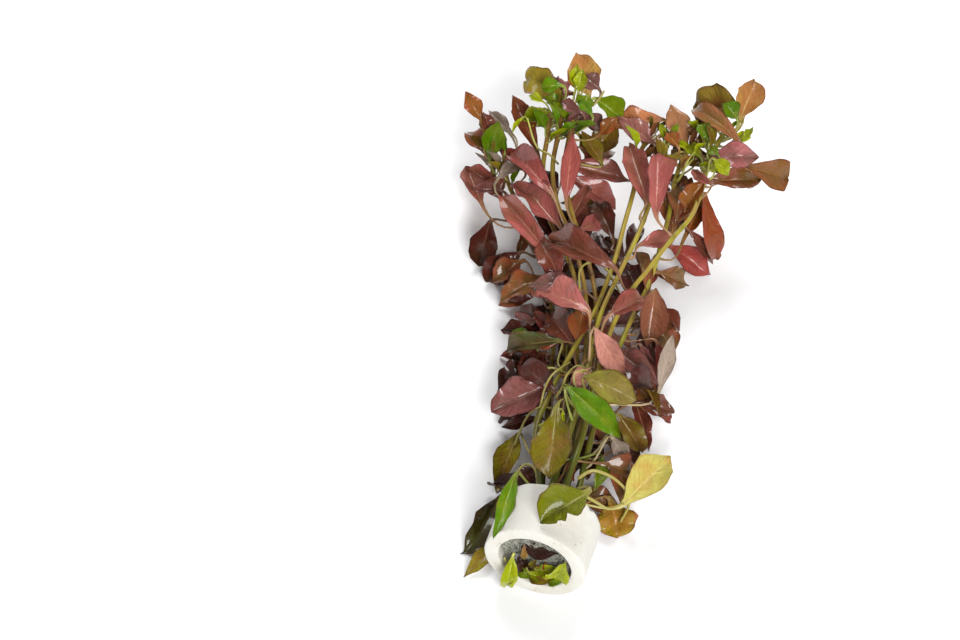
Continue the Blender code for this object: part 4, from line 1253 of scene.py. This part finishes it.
def fibreMesh(axis):  # short bent strands on the face of the wool, made as curves
    form = fibreForm
    rng = random.Random(31)
    curve = bpy.data.curves.new("strands", "CURVE")
    curve.dimensions = "3D"
    curve.bevel_depth = form["radius"]
    curve.bevel_resolution = 0
    curve.use_fill_caps = True
    for _ in range(form["count"]):
        distance = form["area"] * math.sqrt(rng.uniform(0.02, 1))
        around = rng.uniform(0, 2 * math.pi)
        heading = rng.uniform(0, 2 * math.pi)
        length = rng.uniform(*form["length"])
        bend = rng.uniform(*form["bend"])
        x, z = distance * math.cos(around), distance * math.sin(around)
        y = woolForm["front"] + rng.uniform(*form["lift"]) * mm
        spline = curve.splines.new("POLY")
        spline.points.add(form["steps"])
        for k, point in enumerate(spline.points):
            t = k / form["steps"]
            a = heading + bend * t
            x += math.cos(a) * length / len(spline.points)
            z += math.sin(a) * length / len(spline.points)
            reach = math.hypot(x, z)
            if reach > form["limit"]:
                x, z = x * form["limit"] / reach, z * form["limit"] / reach
            rise = form["rise"] * math.sin(math.pi * t) * rng.uniform(0.2, 1)
            point.co = (x, y + rise, z + axis, 1)
    holder = bpy.data.objects.new("strands", curve)
    bpy.context.scene.collection.objects.link(holder)
    bpy.context.view_layer.update()
    mesh = bpy.data.meshes.new_from_object(holder.evaluated_get(bpy.context.evaluated_depsgraph_get()))
    bpy.data.objects.remove(holder)
    return mesh


# Bits of leaf caught in the mouth of the ring, and near-black pieces of painted shade for the dark gaps in it

scrapsAndShade = [  # base and tip in millimetres, width, look, then the form as on a leaf
    ((5.2, -8.9, 7.6), (8.9, -9.2, 18.6), 8.6, "lime", {"cup": 30, "roll": 10, "tone": 0.6}),
    ((-2.4, -8.8, 6.4), (7.0, -9.0, 9.8), 6.4, "olive", {"cup": 30, "tone": 0.9}),
    ((-6.4, -9.0, 8.6), (-0.8, -8.9, 6.6), 4.6, "green", {"cup": 40, "tone": 0.5}),
    # These two, made near-black by a tone below zero, are painted shade: they stand for the dark gaps in the
    # mouth of the ring
    ((-2.2, -8.3, 6.6), (-5.4, -7.9, 13.4), 5.2, "dark", {"cup": 20, "tone": -0.55}),
    ((-4.0, -7.8, 18.0), (6.6, -7.8, 20.4), 6.6, "dark", {"cup": 10, "tone": -0.6}),
    ((-3.5, -8.5, 14.0), (-3.6, -8.4, 20.0), 2.6, "amber", {"cup": 30}),
    ((3.0, -8.7, 10.6), (2.8, -8.6, 15.6), 2.4, "orange", {"cup": 30}),
    ((0.8, -8.9, 10.4), (8.2, -8.8, 13.6), 5.6, "lime", {"cup": 35, "tone": 0.4}),
    ((-1.6, -9.2, 8.6), (4.6, -9.3, 5.6), 5.0, "lime", {"cup": 45, "tone": 0.5}),
    ((8.0, -9.1, 8.2), (3.6, -9.2, 5.6), 3.8, "green", {"cup": 35, "tone": 0.7}),
    ((-1.0, -8.9, 11.5), (0.6, -8.9, 16.0), 3.2, "olive", {"cup": 40, "tone": 0.1}),
    ((-8.3, -9.2, 10.6), (-5.0, -9.5, 8.2), 3.6, "yellow", {"cup": 50}),
    ((-6.6, -9.4, 13.6), (-7.4, -12.6, 1.4), 6.4, "lime", {"cup": 30, "bend": 50, "tone": 0.9}),
    ((-5.4, -9.3, 9.4), (-7.2, -12.0, 4.2), 4.6, "yellow", {"cup": 40, "bend": 40}),
]


def makeScrapsAndShade(materials):
    bm = bmesh.new()
    kinds = sorted({look for _, _, _, look, _ in scrapsAndShade})
    for index, (base, tip, width, look, form) in enumerate(scrapsAndShade):
        row = leaf("scrap", 0, base, tip, width, look, small=True, face=1, **form)
        root = row["base"] - (row["tip"] - row["base"]).normalized() * 1.2 * mm
        seat = (root, Vector((0, -1, 0)), Vector((0, 1, 0)))
        growLeaf(bm, row, seat, "scrap %d" % index, kinds.index(look))
    bmesh.ops.recalc_face_normals(bm, faces=bm.faces)
    piece = meshObject("leaf_scraps", bm, [materials[kind] for kind in kinds])
    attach(piece, "root")


# Everything in its place

# Leaves that are only seen, most of them between the others
extraLeaves = [
    leaf("l2", 104, (-25, 114.3, 12), (-37.6, 129.3, 12), 10, "dark", tone=0.3),
    leaf("m1", 103, (-20.5, 112.8, 13), (-29.1, 128.1, 14), 10, "dark", tone=0.4),
    leaf("l2", 114, (-34.1, 126.5, 12), (-46.2, 141.2, 14), 9, "wine", tone=0.3),
    leaf("r4", 90, (2.5, 96.6, 14), (-7.4, 111.5, 13), 10, "dark", tone=0.4),
    leaf("m1", 24, (-2.4, 30, 7), (-7.9, 42.4, 5), 9, "dark", tone=0.1),
    leaf("r4", 26, (4.6, 31.5, 6), (2.3, 46.4, 4), 9, "dark", tone=0.1),
    leaf("r4", 52, (2.6, 49.9, 12), (9, 40.8, 8), 8, "brown", tone=0.5),
    leaf("l2", 62, (-15.9, 69.7, 10), (-7.9, 58.1, 8), 9, "dark", tone=0.2),
    leaf("l2", 66, (-22.5, 70.2, 8), (-25.8, 59.8, 6), 8, "dark", tone=0.3),
    leaf("r1", 12, (-12.9, 12.3, 23), (-12.1, -11.4, 23.4), 5.5, "green", bend=24, face=1, tone=0.8),
    leaf("l2", 117, (-53, 123, 27), (-48, 131.5, 29), 6, "grey"),
    leaf("m1", 118, (-35.5, 128, 15), (-44.5, 138.5, 19), 11, "dark", tone=0.7),
    leaf("m3", 120, (-30.5, 128, 17), (-22.5, 135.5, 12), 7, "olive"),
    leaf("l1", 109, (-42, 117.5, 10), (-42.5, 110.5, 4), 6, "brown", cup=50),
    leaf("l1", 97, (-40.5, 106.5, 7), (-47, 98, 4), 11, "brown", cup=35),
    leaf("l1", 91, (-34.5, 101, 6), (-41, 92.5, 3), 11, "dark"),
    leaf("l1", 124, (-58, 132.5, 14), (-68, 133, 16), 9, "pink", cup=50),
    leaf("l2", 118, (-54, 125.5, 18), (-62, 121, 20), 8, "mauve", cup=45),
    leaf("l2", 122, (-54.5, 129.5, 10), (-61.5, 136.5, 12), 8, "wine"),
    leaf("l2", 145, (-57.5, 151.5, 20), (-67, 156.5, 22), 4, "grey", cup=60),
    leaf("l1", 140, (-63.5, 147, 22), (-68, 150.5, 27), 6, "brown"),
    leaf("l1", 136, (-63, 142.5, 18), (-70, 145, 20), 7, "olive", cup=45),
    leaf("m3", 108, (-26.5, 118, 21), (-24.5, 133, 23), 9, "pink", cup=45),
    leaf("m3", 106, (-25.5, 117.5, 15), (-24, 132.5, 13), 8, "wine"),
    leaf("r1", 101, (-7, 109, 16), (-16, 120, 14), 9, "dark", tone=0.8),
    leaf("r1", 95, (-7, 104.5, 14), (-16.5, 115, 11), 9, "mauve", tone=0.3),
    leaf("m3", 100, (-17, 107.5, 14), (-18, 124, 11), 9, "dark", tone=0.7),
    leaf("r2", 107, (-7, 116.5, 14), (-6, 130, 12), 7, "dark"),
    leaf("r4", 108, (1.5, 117.5, 10), (0, 108.5, 4), 9, "wine", cup=45),
    leaf("r3", 118, (6.5, 124, 27), (4.5, 138.5, 27), 9, "brown", tone=0.6),
    leaf("r3", 130, (11, 136, 31), (7, 129, 22), 9, "orange", cup=30, flush=0.8),
    leaf("r4", 141, (4.5, 146.5, 34), (-0.5, 140, 31), 4.5, "amber", cup=60),
    leaf("r3", 145, (11, 150, 35), (4.5, 152, 34), 8, "olive", tone=0.8),
    leaf("r3", 151, (11, 154.5, 38), (3, 158, 38), 7, "olive"),
    leaf("r3", 137, (11, 141, 37), (17, 140.5, 33), 5, "lime"),
    leaf("r3", 131, (18, 138, 32), (26.5, 144.5, 26), 9, "wine", cup=45),
    leaf("r4", 144, (0.5, 150, 32), (-5.5, 152.5, 34), 6, "mauve"),
    leaf("r2", 139, (-8.5, 147, 30), (-2, 145.5, 28), 9, "pink", cup=40),
    leaf("r4", 137, (-1.5, 145.5, 22), (5, 143, 16), 9, "brown", cup=45),
    leaf("r4", 118, (5, 125.5, 18), (8.5, 137.5, 14), 8, "dark", tone=0.8),
    leaf("m3", 146, (-32, 150, 35), (-42.5, 152.5, 34), 7, "brown"),
    leaf("m2", 146, (-36, 151, 31), (-29.5, 156, 31), 8, "dark", tone=0.8),
    leaf("m1", 142, (-40.5, 147.5, 33), (-48, 144.5, 31), 7, "lime", cup=45),
    leaf("m3", 136, (-29.5, 143.5, 27), (-23, 145, 20), 9, "wine", cup=40),
    leaf("m3", 138, (-28.5, 146.5, 20), (-23, 155.5, 18), 9, "brown"),
    leaf("r3", 142, (21, 149, 41), (23, 155.5, 42), 3.5, "lime", cup=45),
    leaf("r3", 140, (10, 145.5, 42), (5.5, 149.5, 44), 5.5, "green"),
    leaf("r3", 143, (6.5, 149.5, 41), (2, 151.5, 42), 4.5, "lime", cup=45),
    leaf("r3", 136, (14.5, 141, 40), (11, 143, 40), 4, "green"),
    leaf("r3", 131, (14, 136.5, 38), (9, 137, 38), 3.5, "lime", cup=50),
    leaf("r3", 133, (13.5, 138.5, 39), (19, 136, 36), 5.5, "lime"),
    leaf("r3", 140, (6, 148, 39), (2.5, 150.5, 40), 4, "brown"),
    leaf("r3", 137, (11.5, 144.5, 36), (5.5, 140.5, 34), 7, "olive", tone=0.5, flush=0.9),
    leaf("r4", 141, (0, 146.5, 34), (-5, 150.5, 35), 5.5, "orange"),
    leaf("r4", 140, (5.5, 145, 36), (0.5, 145.5, 38), 4, "lime", cup=45),
    leaf("r4", 138, (8, 144.5, 38), (4.5, 145.5, 40), 4, "olive", cup=45),
    leaf("r4", 137, (6.5, 143, 37), (9.5, 145, 40), 3.5, "lime", cup=50),
    leaf("m2", 148, (-40, 154.5, 38), (-45.5, 161, 40), 5, "mauve", tone=0.8),
    leaf("m2", 146, (-44.5, 153, 37), (-50, 154, 38), 4.5, "brown"),
    leaf("m2", 144, (-46.5, 149.5, 38), (-51, 150, 39), 4, "lime", cup=40),
    leaf("m2", 144, (-39.5, 150, 38), (-46.5, 150, 40), 5, "green"),
    leaf("m2", 142, (-41, 147.5, 37), (-45.5, 150.5, 37), 4, "lime", cup=50),
    leaf("m1", 140, (-38.5, 146, 36), (-52, 144, 35), 7.5, "lime", tone=0.8),
    leaf("m1", 134, (-51.5, 143, 35), (-53.5, 138.5, 32), 3, "lime", cup=50),
    leaf("m3", 146, (-35.5, 154.5, 42), (-36, 160.5, 46), 5, "lime", tone=0.6),
    leaf("m3", 141, (-29, 147, 40), (-34.5, 151, 41), 5, "green"),
    leaf("m3", 142, (-33.5, 148, 38), (-40.5, 150.5, 38), 5, "mauve"),
    leaf("m3", 143, (-33.5, 149, 35), (-25, 150, 31), 7, "mauve", tone=0.2),
    leaf("m3", 139, (-25.5, 146, 33), (-22, 153.5, 34), 5.5, "orange", tone=0.4),
    leaf("m3", 145, (-21.5, 153.5, 32), (-26, 144, 26), 9.5, "olive", tone=0.5, flush=0.8),
    leaf("m3", 132, (-23.5, 141, 26), (-32.5, 148, 30), 7.5, "olive", tone=0.6),
    leaf("l1", 136, (-63, 144.5, 25), (-66.5, 148.5, 29), 5.5, "wine", tone=0.5),
    leaf("l2", 129, (-48.5, 137, 18), (-58.5, 142.5, 20), 7, "wine", cup=40),
    leaf("r4", 116, (4.5, 126.5, 19), (-1.5, 138.5, 26), 8.5, "brown", cup=45, tone=0.6),
    leaf("r3", 126, (13.5, 135, 32), (6.5, 140.5, 31), 5.5, "pink", cup=50, tone=0.6),
    leaf("r4", 120, (4, 128.5, 15), (7, 133, 18), 5, "wine", cup=45),
    leaf("r4", 89, (4, 98.5, 17), (-5.5, 114, 18), 8.5, "brown", cup=50, tone=0.5),
    leaf("r4", 103, (4, 110.5, 13), (12.5, 113, 6), 6, "brown", cup=40),
    leaf("r4", 70, (8, 78, 14), (14.5, 71.5, 8), 7.5, "mauve", cup=55, tone=0.5),
    leaf("r4", 76, (11, 84.5, 9), (16, 75.5, 4), 7, "wine", cup=45, tone=0.5),
    leaf("r1", 57, (-2, 66.5, 19), (2.5, 66, 15), 5, "orange", tone=0.4),
    leaf("r4", 58, (12, 65.5, 12), (18.5, 59, 7), 6, "olive", cup=50, tone=0.5),
    leaf("r4", 51, (18, 58.5, 9), (23.5, 58.5, 5), 5, "pink", cup=45),
    leaf("r4", 31, (9, 39, 17), (13.5, 34.5, 12), 5, "grey", tone=0.9, flush=0),
    leaf("r4", 25, (13, 33.5, 12), (16.5, 24, 6), 4.5, "brown", cup=50),
    leaf("r2", 23, (9, 30, 17), (9.5, 20.5, 14), 5.5, "green", tone=0.1),
    leaf("m2", 18, (0.5, 24, 19), (3, 19.5, 17), 3.5, "orange", tone=0.4),
    leaf("l1", 65, (-25.5, 72.5, 9), (-33.5, 76.5, 8), 5.5, "green", tone=0.1),
    leaf("l2", 65, (-14, 70.5, 15), (-13.5, 67, 13), 3.5, "olive"),
    leaf("r1", 37, (-7, 42, 19), (-5.5, 37.5, 17), 2.5, "lime", cup=50),
    leaf("r2", 47, (-6.5, 53, 22), (-2, 50.5, 20), 4, "salmon"),
    leaf("r2", 48, (-6, 54.5, 24), (-3, 55, 24), 2.5, "yellow", cup=60),
    leaf("r2", 43, (-8, 49, 23), (-4.5, 47.5, 23), 1.5, "lime", cup=60),
    leaf("l2", 10, (-8.5, 17, 13), (-14.5, 23, 13), 6, "dark", tone=0.6),
    leaf("l1", 88, (-32, 97, 5), (-42.5, 90.5, 2), 7.5, "brown", cup=35, tone=0.6),
    leaf("l2", 38, (-16, 45.5, 8), (-26.5, 41.5, 4), 5, "dark", tone=0.2),
    leaf("l1", 80, (-26, 87.5, 5), (-36.5, 89.5, 2), 7.5, "dark", tone=0.5),
]
bareStalks = {  # points in millimetres, then the radius
    "m1": [
        (((4.5, 18, 21), (7.7, 20.4, 23), (11.1, 21.5, 22), (14.9, 22.4, 19), (18, 23.1, 14),
          (19.4, 21.9, 9), (18, 19, 4)), 0.5),
        (((-44, 137.5, 29), (-42, 133, 33), (-38.5, 131.5, 33.5), (-34.8, 130, 31.5)), 0.4),
    ],
    "m2": [
        (((-10.5, 46.5, 19), (-9.2, 48.2, 22), (-8.8, 51.9, 24), (-6.7, 55.4, 25), (-3.6, 57.7, 22)), 0.4),
    ],
    "m3": [
        (((-35, 149, 39), (-35.5, 150.3, 40), (-34.4, 153.4, 42), (-33.5, 157, 42)), 0.4),
        (((-34, 149, 39), (-29.9, 151.1, 40), (-28, 153.5, 42), (-27.6, 157, 42)), 0.4),
    ],
    "l2": [
        (((-20.5, 50, 10), (-19.1, 54.7, 14), (-17.5, 56.4, 17), (-14.9, 57.2, 19), (-9.5, 58, 17)), 0.4),
        (((-15.5, 41, 11), (-14.9, 45.8, 15), (-14.9, 49.8, 18), (-13.5, 53.4, 21), (-10.5, 61.9, 18)), 0.38),
        (((-19.5, 34, 7), (-18.9, 37.7, 10), (-17.6, 42.5, 13), (-14.5, 44.7, 15), (-11, 46, 14)), 0.38),
        (((-13.2, 11, 11), (-13.4, 14.8, 14), (-13.8, 20, 15), (-12, 22.1, 16), (-8.7, 20.2, 16),
          (-6.3, 14, 13)), 0.4),
    ],
    "r1": [
        (((-8.6, 50.4, 20), (-9.1, 49.1, 21), (-6.6, 47, 22), (-4.4, 47.7, 21)), 0.35),
        (((-14.5, 86, 22), (-16.5, 92.4, 26), (-13.6, 96, 27), (-8.8, 94.8, 27), (-2.9, 90, 23)), 0.38),
    ],
    "r4": [
        (((5.5, 10, 20), (8.5, 10.2, 24), (12, 10.9, 22), (15.4, 13.3, 17), (18.6, 18, 14.6)), 0.5),
        (((-2.2, 138, 29), (-0.8, 139.7, 32), (0, 141.1, 35), (2.3, 142.1, 37), (6, 144, 36)), 0.45),
    ],
}
# What is seen of single large leaves: outline, shade, colours of their own, and nicks in the rim,
# each with its side, place along the blade, length and depth
leafDetails = {
    "leaf_m2_1": {"widest": 0.62, "point": 0.5, "tone": 0.7, "width": 11 * mm,
                  "tints": {"Top": (164, 118, 36), "Flush": (122, 114, 24), "Under": (150, 126, 108)}},
    "leaf_m3_1": {"look": "amber", "widest": 0.38, "point": 1.4, "tone": 0.9, "width": 12 * mm},
    "leaf_m3_2": {"widest": 0.55, "point": 0.8, "tone": 0.8},
    "leaf_m1_1": {"widest": 0.6, "point": 0.6,
                  "tints": {"Top": (120, 60, 34), "Flush": (96, 54, 26), "Under": (170, 74, 46),
                            "Edge": (130, 50, 30)}},
    "leaf_m3_3": {"flush": 0.8, "widest": 0.5},
    "leaf_m3_4": {"tints": {"Top": (164, 86, 78), "Flush": (150, 80, 70)}, "tone": 0.6},
    "leaf_m2_2": {"tone": 0.7, "widest": 0.6, "point": 0.8, "tints": {"Flush": (134, 80, 66)}},
    "leaf_m2_4": {"tone": 0.5, "widest": 0.6, "tints": {"Flush": (120, 74, 62)}},
    "leaf_l2_2": {"tone": 0.75, "widest": 0.6, "point": 0.85},
    "leaf_r2_1": {"tints": {"Top": (170, 106, 96), "Flush": (150, 96, 84)}},
    "leaf_r2_2": {"tone": 0.75, "point": 0.8},
    "leaf_r3_1": {"tone": 0.75, "widest": 0.6, "point": 0.9,
                  "tints": {"Top": (172, 94, 88), "Flush": (152, 84, 76)}},
    "leaf_r1_1": {"tone": 0.8, "tints": {"Top": (176, 110, 70), "Flush": (160, 104, 62)}},
    "leaf_r4_1": {"tone": 0.9, "tints": {"Top": (160, 104, 74), "Flush": (136, 96, 56)}},
    "leaf_r3_2": {"widest": 0.5, "point": 0.55, "width": 15.5 * mm, "tone": 0.7,
                  "tints": {"Top": (128, 106, 36), "Flush": (136, 84, 46)}},
    "leaf_r3_3": {"look": "amber", "widest": 0.45, "point": 1.3, "flush": 0.8, "tone": 0.5,
                  "width": 10.5 * mm},
    "leaf_r3_4": {"tone": 0.9, "tints": {"Top": (146, 88, 56), "Flush": (120, 92, 44)}},
    "leaf_r3_5": {"widest": 0.5, "point": 1.05, "tone": 0.8, "tints": {"Top": (154, 84, 84)}},
    "leaf_r3_6": {"widest": 0.76, "point": 0.35, "fold": -10, "fold_at": 0.55, "face": 1, "roll": 0,
                  "cup": 10, "width": 11.5 * mm, "tone": 0.5,
                  "tints": {"Top": (132, 76, 38), "Flush": (108, 78, 28), "Under": (196, 140, 104)}},
    "leaf_r3_7": {"widest": 0.55, "point": 0.7,
                  "tints": {"Top": (122, 62, 36), "Flush": (92, 72, 30), "Under": (176, 78, 52)}},
    "leaf_r3_8": {"widest": 0.62, "point": 0.55, "width": 7.4 * mm,
                  "tints": {"Top": (142, 52, 14), "Flush": (126, 62, 18), "Vein": (160, 84, 44)},
                  "nicks": ((1, 0.95, 0.06, 0.5), (-1, 0.86, 0.05, 0.4))},
    "leaf_r3_9": {"tone": 0.4},
    "leaf_r4_2": {"tone": 0.7, "widest": 0.5, "tints": {"Top": (160, 68, 62), "Flush": (132, 60, 50)}},
    "leaf_r2_3": {"tone": 0.8},
    "leaf_r3_10": {"widest": 0.55, "point": 0.9, "tints": {"Top": (126, 66, 52), "Flush": (104, 66, 40)}},
    "leaf_r2_4": {"tone": 0.8, "widest": 0.55, "tints": {"Top": (166, 94, 88), "Flush": (140, 88, 66)}},
    "leaf_r2_5": {"tone": 0.4},
    "leaf_r4_4": {"tone": 0.6, "tints": {"Top": (138, 84, 62), "Flush": (116, 82, 50)}},
    "leaf_r1_2": {"tone": 0.3, "tints": {"Top": (136, 62, 32)}},
    "leaf_r2_6": {"tone": 0.6, "point": 0.9},
    "leaf_l1_1": {"tone": 0.3, "tints": {"Top": (62, 30, 26)}},
    "leaf_r1_3": {"tone": 0.1, "widest": 0.6, "width": 9.5 * mm, "flush": 0.7,
                  "tints": {"Top": (84, 98, 50), "Flush": (94, 66, 42)}},
    "leaf_l2_1": {"tone": 0.3, "point": 0.8},
    "leaf_l1_3": {"tone": 0.7, "flush": 0.5},
    "leaf_r1_4": {"roll": -20, "tone": 0.6},
    "leaf_l1_4": {"tone": 0.5, "tints": {"Top": (66, 52, 24), "Flush": (70, 76, 18)}},
    "leaf_m2_3": {"widest": 0.66, "taper": 1.8, "point": 0.6, "tone": 0.4, "width": 13 * mm,
                  "tints": {"Top": (118, 108, 14), "Flush": (128, 92, 40), "Vein": (136, 150, 50)}},
    "leaf_r2_7": {"widest": 0.5, "point": 0.85, "tone": 0.5, "width": 10.5 * mm, "flush": 0.2},
    "leaf_r3_11": {"tone": 0.6, "width": 10 * mm, "widest": 0.5, "point": 0.5,
                   "tints": {"Top": (132, 128, 44), "Flush": (132, 112, 60)}},
    "leaf_r4_6": {"widest": 0.5, "point": 1.0, "tone": 0.55, "width": 12.8 * mm, "flush": 0.3},
    "leaf_m1_2": {"tone": 0.55, "widest": 0.5, "point": 0.6, "width": 13.5 * mm,
                  "tints": {"Top": (146, 128, 8), "Flush": (150, 96, 40)}},
    "leaf_r3_12": {"widest": 0.55, "point": 0.6, "flush": 0.1, "tone": 0.6,
                   "tints": {"Top": (106, 110, 8), "Flush": (76, 78, 28)},
                   "nicks": ((-1, 0.55, 0.06, 0.4), (-1, 0.72, 0.05, 0.3))},
    "leaf_l1_5": {"widest": 0.6, "point": 0.45, "tone": 0.5},
    "leaf_l1_6": {"widest": 0.6, "point": 0.6, "tone": 0.6},
}
crownForm = {
    "leaves": 9,
    "start": 12 * mm,  # how far below the top the first one grows
    "closing": 1.3,  # how fast they draw together towards the top
    "stalk": 2.4 * mm,
    "length": (4.5 * mm, 9 * mm),
    "width": (0.42, 0.6),  # share of the length
    "lift": (25, 70),  # degrees away from the stem
    "turn": (137, 20),  # degrees from one to the next, and how far off that
    "cup": (25, 55),
    "bend": (15, 50),
    "looks": {"l": ("green", "olive", "brown", "grey", "lime"),
              "m": ("green", "lime", "green", "olive", "mauve"),
              "r": ("lime", "olive", "green", "olive", "brown", "amber")},
}
deepForm = {  # millimetres and degrees
    "count": 130,
    "levels": (14, 100),
    "below": 3,  # how far down the stem the stalk begins
    "stalk": (3, 8),
    "length": (12, 19),
    "width": (8, 12),
    "sink": (1, 5),
    "drop": (2, 12),
    "cup": (20, 55),
    "face": (0, 0.6),
    "roll": (-35, 35),
    "tone": (0.1, 0.6),
    "lowestBase": 3,
    "lowest": 1.5,
    "highest": 14,
    "looks": ("dark", "dark", "brown", "wine", "dark", "mauve"),
}


def crownLeaves():  # the young leaves round the top of each stem, closer and smaller towards the tip
    rng = random.Random(5)
    rows = []
    for name, points in stemRoutes.items():
        route = smoothRoute(points, mm)
        for k in range(crownForm["leaves"]):
            share = k / (crownForm["leaves"] - 1)
            i = len(route) - 1 - round(crownForm["start"] / mm * (1 - share) ** crownForm["closing"])
            along = directionAt(route, i)
            out = along.orthogonal().normalized()
            turn, off = crownForm["turn"]
            out = Quaternion(along, math.radians(turn * k + rng.uniform(-off, off))) @ out
            least, most = crownForm["lift"]
            lean = math.radians(most + (least - most) * share)
            heading = (out * math.sin(lean) + along * math.cos(lean)).normalized()
            low, high = crownForm["length"]
            length = high + (low - high) * share
            base = route[i] + heading * crownForm["stalk"]
            look = rng.choice(crownForm["looks"][name[0]])
            rows.append(leaf(name, route[i].y / mm, base / mm, (base + heading * length) / mm,
                             length / mm * rng.uniform(*crownForm["width"]), look,
                             cup=rng.uniform(*crownForm["cup"]), bend=rng.uniform(*crownForm["bend"]),
                             face=0.4, small=True))
    return rows


def sticksOut(level, base, tip):  # beyond the other leaves, over bare table
    if level > 75 and base.x < -26 or level > 80 and base.x > 4:
        return True
    return tip.x > 20 or tip.x < (-24 if level < 50 else -37)


def deepLeaves():  # dark leaves deep in the bunch, which close the gaps between the others
    rng = random.Random(12)
    rows = []
    for _ in range(deepForm["count"]):
        name = rng.choice(list(stemRoutes))
        level = rng.uniform(*deepForm["levels"])
        x, z = levelOn(stemRoutes[name], level)
        heading = rng.uniform(0, 2 * math.pi)
        away = Vector((math.sin(heading), 0.5 + 0.5 * math.cos(heading), 0)).normalized()
        base = Vector((x, level, z)) + away * rng.uniform(*deepForm["stalk"])
        sunk = max(base.z - rng.uniform(*deepForm["sink"]), deepForm["lowestBase"])
        base.z = min(sunk, deepForm["highest"])
        tip = base + away * rng.uniform(*deepForm["length"])
        tip.z = max(base.z - rng.uniform(*deepForm["drop"]), deepForm["lowest"])
        if sticksOut(level, base, tip):
            continue
        rows.append(leaf(name, level - deepForm["below"], base, tip, rng.uniform(*deepForm["width"]),
                         rng.choice(deepForm["looks"]), cup=rng.uniform(*deepForm["cup"]),
                         face=rng.uniform(*deepForm["face"]), roll=rng.uniform(*deepForm["roll"]),
                         tone=rng.uniform(*deepForm["tone"])))
    return rows


def addShoots(crowd, routes, shoots, levels, rows):  # small leaves on the faces of their stems
    for name, route in routes.items():
        rings = stemSections(route)
        taken = set()
        for row in [row for row in rows if row["stem"] == name]:
            spot, seat = seatOnFace(row, route, rings, taken)
            moved, points, faces = settle(row, seat, growth["shootSteps"], crowd, "stem_" + name)
            if moved is None:
                continue
            taken.add(spot)
            addToCrowd(crowd, "shoot of " + name, points, faces)
            shoots[name].append((moved, seat))
            levels[name].append(row["at"])


def startCrowd(routes):  # what no leaf may cut through
    crowd = []
    for node in ("ring", "wool"):
        mesh = bpy.data.objects[node].data
        points = [v.co.copy() for v in mesh.vertices]
        addToCrowd(crowd, node, points, [tuple(p.vertices) for p in mesh.polygons])
    for name, route in routes.items():
        addToCrowd(crowd, "stem_" + name, *skin(stemSections(route, growth["clearance"] / 2)))
    return crowd


def addLargeLeaves(crowd, routes, levels, materials):  # each is a piece of its own
    counts = {}
    added = 0
    for row in largeLeaves:
        stem = row["stem"]
        counts[stem] = counts.get(stem, 0) + 1
        node = "leaf_%s_%d" % (stem, counts[stem])
        seat = seatOnSurface(row, routes[stem])
        moved, points, faces = settle(row, seat, growth["leafSteps"], crowd)
        if moved is None:
            continue
        addToCrowd(crowd, node, points, faces)
        levels[stem].append(row["at"])
        dressLeaf("grown_" + node, node, moved, seat, materials)
        added += 1
    print("large leaves: %d of %d" % (added, len(largeLeaves)))


def addSeenLeaves(crowd, routes, shoots, name, rows):  # leaves that the solids don't have
    front = growth["front"] / growth["front"].z
    added = 0
    for row in rows:
        seat = seatOnSurface(row, routes[row["stem"]])
        moved, points, faces = settle(row, seat, growth["shootSteps"], crowd, "stem_" + row["stem"],
                                      0.0, growth["tries"][name], front)
        if moved is None:
            continue
        addToCrowd(crowd, name + " leaf", points, faces)
        shoots[row["stem"]].append((moved, seat))
        added += 1
    print("%s leaves: %d of %d" % (name, added, len(rows)))


def growBunch(materials):
    routes = {name: smoothRoute(points, growth["stemStep"]) for name, points in stemRoutes.items()}
    crowd = startCrowd(routes)
    levels = {name: [] for name in routes}
    shoots = {name: [] for name in routes}
    addLargeLeaves(crowd, routes, levels, materials)
    addShoots(crowd, routes, shoots, levels, smallLeaves)
    addSeenLeaves(crowd, routes, shoots, "extra", extraLeaves)
    lower = [row for k, row in enumerate(lowerLeaves()) if k not in lowLeaves["unseen"]]
    addShoots(crowd, routes, shoots, levels, lower)
    addSeenLeaves(crowd, routes, shoots, "crown", crownLeaves())
    addSeenLeaves(crowd, routes, shoots, "deep", deepLeaves())
    for name in routes:
        dressStem(name, shoots[name], sorted(set(levels[name])), materials)
    print("stems: %d" % len(routes))


makeCamera()
makeLights()
makeFloor()
materials = makeMaterials()
print("materials: %d" % len(materials))
makeRing(materials)
makeWool(materials)
makeScrapsAndShade(materials)
print("ring, wool and %d scraps" % len(scrapsAndShade))
growBunch(materials)
